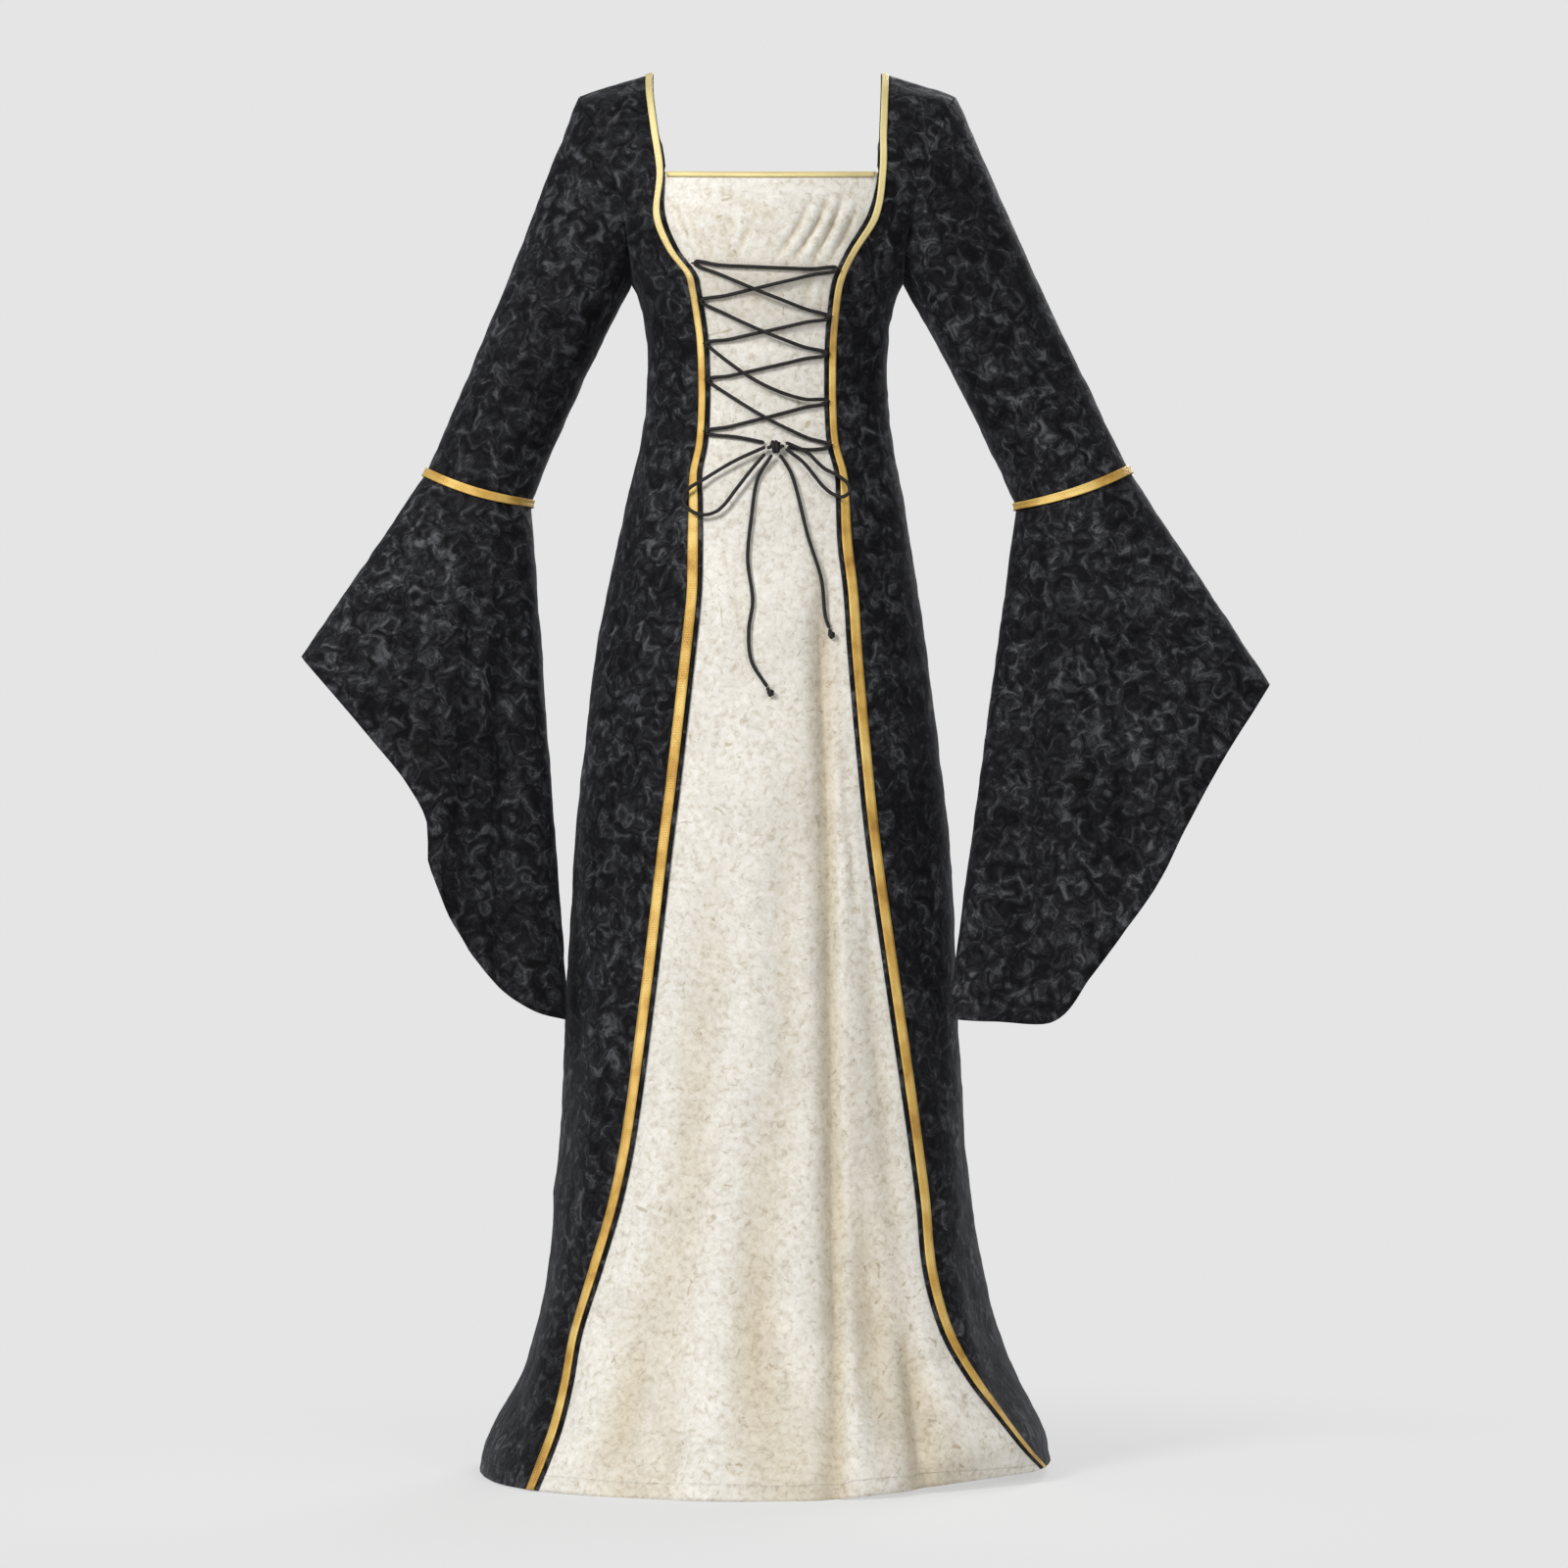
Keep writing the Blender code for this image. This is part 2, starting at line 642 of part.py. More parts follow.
def upper_sleeve_rows(name):
    """Rings from the elbow seam up to the armhole."""
    turns = sleeve_turns(SLEEVE_SIDES, side_of(name))
    shares = [j / SLEEVE_RINGS for j in range(SLEEVE_RINGS + 1)]
    return [[upper_point(name, turn, share) for turn in turns] for share in shares]


def hem_swing(share, name):
    shares = [row.share for row in HEM_SWINGS]
    return smooth_read(shares, [getattr(row, name) for row in HEM_SWINGS], share)


def bell_point(name, turn, length):
    """A point of the bell: length 0 is the elbow seam and 1 the hem."""
    sleeve = SLEEVES[name]
    out = mix(sleeve.elbow_out, sleeve.hem_out, length)
    under = mix(sleeve.elbow_in, sleeve.hem_in, length)
    squareness = mix(2.0, BELL_SQUARENESS, length)
    half_depth = mix(ELBOW_HALF_DEPTH, BELL_HALF_DEPTH, length)
    point = oval(out, under, half_depth, turn, squareness)
    point.z -= ELBOW_SAG * math.sin(turn) ** 2 * (1 - length)
    share = (1 - power(math.cos(turn), 2 / squareness)) / 2
    line = under - out
    outward = Vector((-line.z, 0, line.x)).normalized() * side_of(name)
    point += outward * hem_swing(share, name) * length**BELL_SWING_EASE
    layer = power(math.sin(turn), BELL_LAYER_EASE)
    phase = 2 * math.pi * (abs(point.x) - abs(sleeve.hem_in.x)) / BELL_FOLD_PITCH
    wave = math.cos(phase + (BELL_FRONT_PHASE if layer > 0 else BELL_BACK_PHASE))
    strength = min(1.0, BELL_FOLD_GAIN * max(0.0, share - BELL_FOLD_START) * length)
    point.y -= BELL_FOLD * wave * strength * layer
    return point


def bell_rows(name):
    """Rings from the hem up to the elbow seam, which it leaves by its seam's gap."""
    turns = sleeve_turns(BELL_SIDES, side_of(name))
    rows = []
    for j in range(BELL_RINGS, -1, -1):
        length = (j / BELL_RINGS) ** BELL_RING_EASE
        rows.append([bell_point(name, turn, length) for turn in turns])
    sleeve = SLEEVES[name]
    down = (sleeve.hem_out + sleeve.hem_in - sleeve.elbow_out - sleeve.elbow_in).normalized()
    rows[-1] = [p + down * BELL_SEAM_GAP for p in rows[-1]]
    return rows


def stepped(start, towards, distance):
    return start + (towards - start).normalized() * distance


def elbow_trim_rows(name):
    """A band over the elbow seam: one ring on the bell, one at the seam and one on the upper sleeve."""
    half = ELBOW_TRIM_WIDTH / 2
    rings = [[], [], []]
    for turn in sleeve_turns(SLEEVE_SIDES + 4, side_of(name)):
        seam = upper_point(name, turn, 0)
        rings[0].append(stepped(seam, bell_point(name, turn, 0.05), half))
        rings[1].append(seam)
        rings[2].append(stepped(seam, upper_point(name, turn, 0.1), half))
    return moved_out(rings, CLOTH + TRIM_GAP + BAND_EASE, closed=True)


def cut_short(row, distance):
    """The row of points with a distance taken off both of its ends."""
    first = stepped(row[0], row[1], distance)
    last = stepped(row[-1], row[-2], distance)
    return [first] + row[1:-1] + [last]


def build_body(gown):
    right, left, back = front_rows(-1), front_rows(1), back_rows()
    cloth("overdress_front_right", [row[::-1] for row in right], gown, "black_velvet")
    cloth("overdress_front_left", left, gown, "black_velvet")
    neck_row = len(SECTIONS) + NECKLINE_ROW - 1

    def on_back(i, j):
        return j < neck_row or i < STRAP_STRIPS or i >= BACK_STRIPS - STRAP_STRIPS

    cloth("overdress_back", back, gown, "black_velvet", keep=on_back)
    insert = insert_rows(right, left)
    cloth("insert", insert, gown, "ivory_velvet")
    return right, left, back, insert


def build_trims(gown, right, left, back, insert):
    lift = CLOTH + TRIM_GAP
    strip_right = [row[-3:-1] for row in moved_out([row[::-1] for row in right], lift)]
    strip_left = [row[1:3] for row in moved_out(left, lift)]
    cloth("trim_front_right", strip_right, gown, "gold_trim", TRIM_THICKNESS)
    cloth("trim_front_left", strip_left, gown, "gold_trim", TRIM_THICKNESS)
    neck_row = len(SECTIONS) + NECKLINE_ROW - 1
    first, last = STRAP_STRIPS - 1, BACK_STRIPS - STRAP_STRIPS

    def on_neck(i, j):
        across = j == neck_row - 1 and first <= i <= last
        return across or (j >= neck_row and i in (first, last))

    raised = moved_out(back, lift)
    cloth("trim_neck_back", raised, gown, "gold_trim", TRIM_THICKNESS, keep=on_neck)
    top = [cut_short(row[2:-2], NECK_MARGIN + CLOTH) for row in moved_out(insert, lift)[-2:]]
    cloth("trim_insert_top", top, gown, "gold_trim", TRIM_THICKNESS)


def build_sleeves(gown):
    for name in SLEEVES:
        rows = upper_sleeve_rows(name)
        cloth(f"sleeve_upper_{name}", rows, gown, "black_velvet", closed=True)
        cloth(f"sleeve_bell_{name}", bell_rows(name), gown, "black_velvet", closed=True)
        band = elbow_trim_rows(name)
        cloth(f"trim_elbow_{name}", band, gown, "gold_trim", TRIM_THICKNESS, closed=True)


def surface_ahead(gown):
    """The depth of whatever cloth or trim stands foremost at a place, as y."""
    graph = bpy.context.evaluated_depsgraph_get()
    trees = [BVHTree.FromObject(item, graph) for item in gown.objects if "sleeve" not in item.name]

    def depth(x, z):
        start, ahead = Vector((x, -1.0, z)), Vector((0, 1, 0))
        hits = [tree.ray_cast(start, ahead)[0] for tree in trees]
        return min(hit.y for hit in hits if hit)

    return depth


def eased(points, depth):
    """Points of a lace route, x, z and lift, brought to their places ahead of the cloth."""
    placed = []
    for x, z, lift in points:
        nearest = min(depth(x + dx, z + dz) for dx, dz in LACE_FEELERS)
        placed.append(Vector((x, nearest - lift, z)))
    return placed


def spaced(points, step):
    """Points at even steps along a smooth curve through the given ones."""
    keys = [0.0]
    for a, b in zip(points, points[1:]):
        keys.append(keys[-1] + (Vector(b) - Vector(a)).length)
    count = max(2, round(keys[-1] / step))
    return [
        tuple(smooth_read(keys, [p[axis] for p in points], keys[-1] * k / count) for axis in range(3))
        for k in range(count + 1)
    ]


def lace(name, points, gown):
    """A round tube with closed ends along the points."""
    curve = bpy.data.curves.new(name, "CURVE")
    curve.dimensions = "3D"
    curve.bevel_depth = LACE / 2
    curve.bevel_resolution = LACE_SIDES
    curve.use_fill_caps = True
    spline = curve.splines.new("POLY")
    spline.points.add(len(points) - 1)
    for place, point in zip(spline.points, points):
        place.co = (*point, 1.0)
    return link(bpy.data.objects.new(name, curve), gown, "black_lace")


def bead(name, centre, half_sizes, gown):
    """A rounded lump for a knot."""
    shape = bmesh.new()
    bmesh.ops.create_uvsphere(shape, u_segments=12, v_segments=8, radius=1)
    for vertex in shape.verts:
        vertex.co = centre + Vector(c * h for c, h in zip(vertex.co, half_sizes))
    mesh = bpy.data.meshes.new(name)
    shape.to_mesh(mesh)
    shape.free()
    mesh.shade_smooth()
    return link(bpy.data.objects.new(name, mesh), gown, "black_lace")


def turn_place(name, number):
    """Where the lace turns on the edge of one front: beside the trim, on the strip of black velvet."""
    heights = TURNS_LEFT if name == "left" else TURNS_RIGHT
    z = heights[number]
    trims = [s.trim_left if name == "left" else s.trim_right for s in SECTIONS]
    middle = smooth_read([s.height for s in SECTIONS], trims, z)
    return (middle - BODICE_TRIM_WIDTH / 2 - GUIDE_INSET) * side_of(name), z


def lacing_route():
    """The lace between the knot and itself, through every turn: x, z and lift."""
    before = turn_place("right", len(TURNS_RIGHT) - 1)
    route = LACING_START + turned(before, "right", upwards=True)
    for number, span in enumerate(SPANS):
        place = turn_place(span.side, span.turn)
        for k in range(1, SPAN_POINTS + 1):
            share = k / (SPAN_POINTS + 1)
            over = span.over_from <= share <= span.over_to and span.over_to > 0
            x, z = mix(before[0], place[0], share), mix(before[1], place[1], share)
            sag = 4 * span.sag * share * (1 - share)
            route.append((x, z - sag, OVER_LACE if over else ON_CLOTH))
        route += turned(place, span.side, upwards=number < TOP_SPAN)
        before = place
    return route + LACING_END


def turned(place, name, upwards):
    """Three points that take the lace round a turn."""
    inwards = -side_of(name) * GUIDE_BEND
    low = (place[0] + inwards, place[1] - GUIDE_TURN, ON_CLOTH)
    high = (place[0] + inwards, place[1] + GUIDE_TURN, ON_CLOTH)
    middle = (place[0], place[1], ON_CLOTH)
    return [low, middle, high] if upwards else [high, middle, low]


def build_lace(gown):
    depth = surface_ahead(gown)
    x, z = KNOT_PLACE
    lace("lacing", eased(lacing_route(), depth), gown)
    bead("bow_knot", eased([(x, z, KNOT_LIFT)], depth)[0], KNOT_HALF, gown)
    for name in SLEEVES:
        loop = spaced(LOOP_ROUTES[name], LACE_STEP)
        lace(f"bow_loop_{name}", eased(loop, depth), gown)
        tail = spaced(TAIL_ROUTES[name], LACE_STEP)
        lace(f"lace_tail_{name}", eased(tail, depth), gown)
        tip = (*TIP_PLACES[name], TIP_HALF[1] + TIP_CLEARANCE)
        bead(f"lace_tip_{name}", eased([tip], depth)[0], TIP_HALF, gown)


def main():
    clear_scene()
    gown = bpy.data.collections.new("medieval_gown")
    bpy.context.scene.collection.children.link(gown)
    right, left, back, insert = build_body(gown)
    build_trims(gown, right, left, back, insert)
    build_sleeves(gown)
    build_lace(gown)


main()
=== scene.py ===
"""The medieval gown as it looks: cloth with creases and crushed pile, woven trims and a braided lace.

Metres, +Z up. The gown faces -Y and the wearer's left is +X. The panels follow the same sections as
the solids that they stand for, on finer grids, with creases pressed into them.
"""

import math
from collections import namedtuple

import bpy
import numpy as np
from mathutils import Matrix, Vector, noise
from mathutils.bvhtree import BVHTree


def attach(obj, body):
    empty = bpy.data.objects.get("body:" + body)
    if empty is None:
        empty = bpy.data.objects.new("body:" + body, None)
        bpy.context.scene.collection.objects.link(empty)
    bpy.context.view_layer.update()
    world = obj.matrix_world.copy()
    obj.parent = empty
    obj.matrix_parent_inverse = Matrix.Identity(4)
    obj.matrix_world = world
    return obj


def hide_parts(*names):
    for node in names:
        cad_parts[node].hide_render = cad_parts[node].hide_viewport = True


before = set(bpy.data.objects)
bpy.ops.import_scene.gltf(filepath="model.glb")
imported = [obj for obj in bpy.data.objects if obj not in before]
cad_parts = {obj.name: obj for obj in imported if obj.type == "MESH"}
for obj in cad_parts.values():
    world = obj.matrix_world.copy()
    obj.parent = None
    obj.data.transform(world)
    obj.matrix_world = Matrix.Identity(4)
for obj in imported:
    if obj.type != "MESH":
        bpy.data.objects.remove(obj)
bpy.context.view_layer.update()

# Sizes of the cloth, the trims and their margins, the same as the solids'.
CLOTH = 0.0018
SEAM_GAP = 0.0003
LAYER_GAP = 0.0004
TRIM_THICKNESS = 0.0011
TRIM_GAP = 0.0004
BODICE_TRIM_WIDTH = 0.007
SKIRT_TRIM_WIDTH = 0.0105
NECK_MARGIN = 0.0006
OPENING_MARGIN = 0.0042
TOP_TRIM_WIDTH = 0.0055
TRIM_SELVEDGE = 0.0003
SELVEDGE_POWER = 5
TRIM_DOME = 0.00025
BAND_DOME = 0.0003
ELBOW_TRIM_WIDTH = 0.010

# Strips of the guiding grids.
FRONT_STRIPS = 6
BACK_STRIPS = 16
STRAP_STRIPS = 3
INSERT_STRIPS = 12
UPPER_ROWS = 6
NECKLINE_ROW = 3

# The finest step of the cloth along and across, and the counts around the sleeves.
ROW_STEP = 0.0054
BODICE_ROW_STEP = 0.0030
COLUMN_STEP = 0.0056
FRONT_STEP_SHARE = 0.72
BACK_STEP_SHARE = 0.85
MARGIN_CUTS = 2
TRIM_CUTS = 4
UPPER_SIDES = 88
UPPER_RINGS = 62
BELL_SIDES = 176
BELL_RINGS = 84
BAND_SIDES = 88
BAND_CUTS = 3

SQUARENESS = 2.15
SIDE_SEAM_AT_ARMPIT = math.radians(90)
SIDE_SEAM_AT_HEM = math.radians(107)

HEM = -1.412
ARMPIT = -0.200
WAIST = -0.370
HIP = -0.470
SHOULDER_NECK = 0.012
SHOULDER_POINT = -0.012
NECK_BEND = (math.radians(32), math.radians(2))
ARMHOLE_BEND = (math.radians(90), math.radians(20))

# One row for each level section, from the hem to the armpit.
Section = namedtuple("Section", "height half_width front back trim_right trim_left")
SECTIONS = [
    Section(HEM, 0.2955, 0.268, 0.300, 0.236, 0.290),
    Section(-1.385, 0.2890, 0.257, 0.289, 0.225, 0.264),
    Section(-1.352, 0.2725, 0.232, 0.262, 0.213, 0.238),
    Section(-1.312, 0.2545, 0.208, 0.236, 0.203, 0.209),
    Section(-1.262, 0.2380, 0.190, 0.216, 0.194, 0.183),
    Section(-1.200, 0.2245, 0.175, 0.199, 0.175, 0.166),
    Section(-1.130, 0.2155, 0.163, 0.186, 0.155, 0.159),
    Section(-1.060, 0.2085, 0.154, 0.175, 0.141, 0.150),
    Section(-0.920, 0.2000, 0.141, 0.160, 0.122, 0.130),
    Section(-0.780, 0.1910, 0.132, 0.147, 0.105, 0.110),
    Section(-0.710, 0.1845, 0.128, 0.141, 0.096, 0.102),
    Section(-0.580, 0.1690, 0.118, 0.129, 0.081, 0.090),
    Section(-0.520, 0.1595, 0.113, 0.121, 0.075, 0.086),
    Section(HIP, 0.1505, 0.108, 0.113, 0.074, 0.080),
    Section(-0.430, 0.1428, 0.103, 0.104, 0.0735, 0.078),
    Section(-0.400, 0.1360, 0.099, 0.096, 0.0735, 0.076),
    Section(WAIST, 0.1300, 0.095, 0.088, 0.0675, 0.0680),
    Section(-0.335, 0.1250, 0.092, 0.081, 0.0652, 0.0655),
    Section(-0.300, 0.1230, 0.092, 0.079, 0.0652, 0.0652),
    Section(-0.265, 0.1232, 0.096, 0.083, 0.0668, 0.0660),
    Section(-0.235, 0.1275, 0.103, 0.089, 0.0708, 0.0686),
    Section(-0.213, 0.1335, 0.109, 0.094, 0.0746, 0.0716),
    Section(ARMPIT, 0.1400, 0.113, 0.098, 0.0780, 0.0755),
]

Upper = namedtuple("Upper", "height depth trim_right trim_left back_height back_depth back_half")
UPPERS = [
    Upper(-0.174, 0.0920, 0.0965, 0.0880, -0.162, 0.068, 0.1140),
    Upper(-0.138, 0.0860, 0.1105, 0.1090, -0.113, 0.074, 0.1150),
    Upper(-0.095, 0.0790, 0.1075, 0.1160, -0.106, 0.074, 0.1150),
    Upper(-0.054, 0.0650, 0.1135, 0.1172, -0.058, 0.066, 0.1155),
    Upper(-0.014, 0.0360, 0.1190, 0.1190, -0.014, 0.038, 0.1165),
    Upper(SHOULDER_NECK, 0.0, 0.1205, 0.1200, SHOULDER_NECK, 0.0, 0.1170),
]
BACK_MIDDLE = 0.0975
INSERT_FRONTS = [0.1150, 0.1130, 0.1040]
NECKLINE_SAG = 0.003

ARMHOLE_X = 0.1665
ARMHOLE_HALF_X = 0.0265
ARMHOLE_NOTCH = 0.012
ARMHOLE_HALF_DEPTH = 0.062

LEAN = 0.0055
LEAN_SPAN = (-0.30, -0.60)
LEAN_EASE = 0.6
LEAN_EASE_SPAN = (-0.90, -1.30)
HEM_RISE = 0.010
HEM_RISE_REACH = 0.24
HEM_RISE_START = -1.20

# The insert's two long folds, and the soft flutes of the skirts.
Fold = namedtuple("Fold", "hip middle hem depth near far")
INSERT_FOLDS = [
    Fold(0.060, 0.067, 0.075, 0.0125, 0.0170, 0.0060),
    Fold(0.073, 0.106, 0.160, 0.0115, 0.0125, 0.0110),
]
FOLD_MIDDLE = -0.900
FOLD_START = HIP + 0.02
FOLD_FULL = HIP - 0.15
FLUTE_START = -0.75
FLUTE_FADE = 6
INSERT_FLUTE = 0.007
INSERT_FLUTES = 3
FRONT_FLUTE = 0.006
BACK_FLUTE = 0.013
BACK_FLUTES = 5

Sleeve = namedtuple("Sleeve", "elbow_out elbow_in hem_out hem_in")
SLEEVES = {
    "right": Sleeve(
        Vector((-0.346, -0.004, -0.396)),
        Vector((-0.243, -0.004, -0.426)),
        Vector((-0.470, -0.050, -0.584)),
        Vector((-0.202, -0.060, -0.950)),
    ),
    "left": Sleeve(
        Vector((0.367, -0.004, -0.393)),
        Vector((0.256, -0.004, -0.429)),
        Vector((0.507, -0.050, -0.612)),
        Vector((0.183, -0.086, -0.948)),
    ),
}
ELBOW_HALF_DEPTH = 0.050
ELBOW_SAG = 0.006
BELL_HALF_DEPTH = 0.058
BELL_SQUARENESS = 2.5
BELL_FOLD = 0.011
BELL_FOLD_PITCH = 0.105
BELL_FRONT_PHASE = -1.2
BELL_BACK_PHASE = 1.1
BELL_FOLD_START = 0.12
BELL_FOLD_GAIN = 2.2
BELL_LAYER_EASE = 0.6
BELL_SWING_EASE = 1.5
BELL_RING_EASE = 1.12
BAND_EASE = 0.0012
SLEEVE_WAIST = 0.06

HemSwing = namedtuple("HemSwing", "share right left")
HEM_SWINGS = [
    HemSwing(0.00, 0.000, 0.000),
    HemSwing(0.16, -0.007, 0.0138),
    HemSwing(0.27, -0.0105, 0.0258),
    HemSwing(0.37, -0.0125, 0.0387),
    HemSwing(0.46, -0.007, 0.0525),
    HemSwing(0.54, 0.016, 0.0605),
    HemSwing(0.72, 0.0345, 0.070),
    HemSwing(0.85, 0.0345, 0.075),
    HemSwing(0.94, 0.020, 0.0315),
    HemSwing(1.00, 0.000, 0.000),
]

# Creases, as seen from the front: from one end to the other, with the half width and the depth. A
# negative depth is a ridge.
Crease = namedtuple("Crease", "x z to_x to_z width depth")
INSERT_CREASES = [
    Crease(-0.083, -0.130, -0.062, -0.182, 0.0032, 0.0022),
    Crease(-0.098, -0.122, -0.074, -0.172, 0.0032, 0.0020),
    Crease(-0.072, -0.142, -0.050, -0.186, 0.0032, 0.0016),
    Crease(-0.026, -0.184, -0.012, -0.140, 0.0036, 0.0018),
    Crease(0.012, -0.186, 0.040, -0.122, 0.0034, 0.0024),
    Crease(0.027, -0.188, 0.060, -0.119, 0.0034, 0.0027),
    Crease(0.043, -0.190, 0.080, -0.113, 0.0034, 0.0026),
    Crease(0.060, -0.190, 0.092, -0.128, 0.0032, 0.0020),
    Crease(-0.048, -0.118, 0.008, -0.140, 0.0070, 0.0018),
    Crease(0.058, -0.205, 0.050, -0.250, 0.0040, 0.0012),
    Crease(0.042, -0.205, 0.038, -0.240, 0.0040, 0.0008),
    Crease(-0.050, -0.262, 0.010, -0.272, 0.0060, 0.0009),
    Crease(0.044, -0.330, 0.062, -0.362, 0.0040, 0.0010),
    Crease(-0.020, -0.470, -0.028, -0.640, 0.0120, 0.0016),
    Crease(-0.064, -0.480, -0.070, -0.700, 0.0100, 0.0014),
    Crease(0.088, -0.560, 0.096, -0.900, 0.0070, -0.0040),
    Crease(0.022, -0.620, 0.018, -1.150, 0.0200, 0.0030),
    Crease(-0.050, -0.760, -0.082, -1.330, 0.0240, 0.0040),
    Crease(-0.014, -1.000, -0.020, -1.400, 0.0220, 0.0036),
    Crease(0.132, -1.255, 0.170, -1.350, 0.0090, 0.0040),
    Crease(0.096, -1.140, 0.118, -1.400, 0.0180, 0.0040),
    Crease(-0.130, -1.270, -0.168, -1.400, 0.0150, 0.0044),
    Crease(-0.090, -1.330, -0.104, -1.412, 0.0120, 0.0026),
]
FRONT_RIGHT_CREASES = [
    Crease(-0.150, -0.052, -0.118, -0.170, 0.0080, 0.0018),
    Crease(-0.136, -0.110, -0.098, -0.196, 0.0070, 0.0016),
    Crease(-0.126, -0.226, -0.084, -0.262, 0.0070, 0.0012),
    Crease(-0.122, -0.330, -0.092, -0.350, 0.0070, 0.0013),
    Crease(-0.104, -0.380, -0.112, -0.640, 0.0120, 0.0026),
    Crease(-0.136, -0.430, -0.160, -0.900, 0.0150, 0.0032),
    Crease(-0.130, -0.700, -0.160, -1.240, 0.0160, 0.0036),
    Crease(-0.182, -0.800, -0.204, -1.380, 0.0140, 0.0036),
    Crease(-0.220, -1.130, -0.262, -1.405, 0.0160, 0.0040),
]
FRONT_LEFT_CREASES = [
    Crease(0.146, -0.060, 0.124, -0.160, 0.0080, 0.0018),
    Crease(0.140, -0.120, 0.106, -0.188, 0.0070, 0.0016),
    Crease(0.124, -0.240, 0.086, -0.268, 0.0070, 0.0013),
    Crease(0.122, -0.318, 0.090, -0.346, 0.0070, 0.0013),
    Crease(0.106, -0.390, 0.120, -0.620, 0.0120, 0.0026),
    Crease(0.140, -0.450, 0.166, -0.940, 0.0150, 0.0032),
    Crease(0.140, -0.760, 0.180, -1.180, 0.0150, 0.0034),
    Crease(0.192, -0.860, 0.214, -1.300, 0.0140, 0.0034),
    Crease(0.196, -1.180, 0.258, -1.400, 0.0130, 0.0040),
]
BACK_CREASES = [
    Crease(-0.060, -0.150, -0.012, -0.250, 0.0090, 0.0014),
    Crease(0.064, -0.156, 0.020, -0.262, 0.0090, 0.0014),
    Crease(-0.112, -0.250, -0.040, -0.300, 0.0080, 0.0014),
    Crease(0.110, -0.262, 0.038, -0.312, 0.0080, 0.0014),
    Crease(-0.100, -0.356, 0.000, -0.372, 0.0080, 0.0012),
    Crease(0.012, -0.348, 0.104, -0.364, 0.0080, 0.0012),
    Crease(-0.088, -0.380, -0.120, -0.900, 0.0160, 0.0040),
    Crease(-0.030, -0.392, -0.044, -1.050, 0.0180, 0.0046),
    Crease(0.034, -0.386, 0.050, -0.960, 0.0180, 0.0042),
    Crease(0.092, -0.384, 0.134, -1.100, 0.0160, 0.0040),
    Crease(-0.150, -0.700, -0.210, -1.390, 0.0180, 0.0050),
    Crease(0.156, -0.640, 0.224, -1.390, 0.0180, 0.0050),
    Crease(0.004, -0.800, 0.010, -1.400, 0.0220, 0.0050),
]
SLEEVE_FRONT_CREASES = {
    "right": [
        Crease(-0.190, -0.060, -0.232, -0.180, 0.0080, 0.0020),
        Crease(-0.172, -0.150, -0.244, -0.240, 0.0080, 0.0022),
        Crease(-0.204, -0.250, -0.300, -0.300, 0.0080, 0.0022),
        Crease(-0.226, -0.330, -0.320, -0.352, 0.0075, 0.0022),
        Crease(-0.250, -0.280, -0.286, -0.400, 0.0090, 0.0020),
        Crease(-0.312, -0.420, -0.392, -0.640, 0.0120, 0.0030),
        Crease(-0.300, -0.430, -0.330, -0.820, 0.0090, -0.0036),
        Crease(-0.282, -0.436, -0.290, -0.880, 0.0080, -0.0034),
        Crease(-0.314, -0.560, -0.312, -0.860, 0.0100, 0.0034),
        Crease(-0.262, -0.460, -0.262, -0.930, 0.0090, 0.0034),
        Crease(-0.352, -0.520, -0.366, -0.740, 0.0100, 0.0030),
    ],
    "left": [
        Crease(0.192, -0.066, 0.236, -0.190, 0.0080, 0.0020),
        Crease(0.176, -0.160, 0.252, -0.236, 0.0080, 0.0022),
        Crease(0.210, -0.262, 0.312, -0.300, 0.0080, 0.0022),
        Crease(0.236, -0.344, 0.336, -0.350, 0.0075, 0.0022),
        Crease(0.262, -0.286, 0.310, -0.396, 0.0090, 0.0020),
        Crease(0.332, -0.416, 0.428, -0.660, 0.0120, 0.0030),
        Crease(0.312, -0.430, 0.352, -0.840, 0.0090, -0.0036),
        Crease(0.288, -0.440, 0.296, -0.900, 0.0080, -0.0034),
        Crease(0.330, -0.560, 0.326, -0.880, 0.0100, 0.0034),
        Crease(0.270, -0.470, 0.258, -0.920, 0.0090, 0.0034),
        Crease(0.372, -0.520, 0.398, -0.780, 0.0100, 0.0030),
    ],
}
SLEEVE_BACK_SHIFT = 0.014
CREASE_WANDER = 0.0035
CREASE_WAVES = 21.0
CREASE_DRIFT = 37
CREASE_FADE = 0.7
CREASE_LIP = 0.45
CREASE_LIP_PLACE = 1.8

# Relief of the crushed pile: height and how many lumps there are to a metre.
Crush = namedtuple("Crush", "height per_metre fine_height fine_per_metre")
BLACK_CRUSH = Crush(0.0010, 42.0, 0.0005, 95.0)
IVORY_CRUSH = Crush(0.0006, 38.0, 0.0004, 90.0)

# Painted shade in creases: a crease this deep takes the full shade colour.
CREASE_SHADE_DEPTH = 0.009
BUST_SHADE = 2.4
# Painted shade laid under the bust whatever the depth of its gathers.
BUST_PAINTED_SHADE = 0.0026
BUST_TOP = (-0.118, -0.150)
BUST_BOTTOM = (-0.270, -0.215)
HEM_STITCH = 0.016
HEM_STITCH_WIDTH = 0.0016

# A seam pulls the cloth in beside it.
SEAM_PULL = 0.0009
SEAM_REACH = 0.007
EDGE_CALM = 0.016
TRIM_CALM = (0.004, 0.028)
TOP_CALM = (0.004, 0.020)

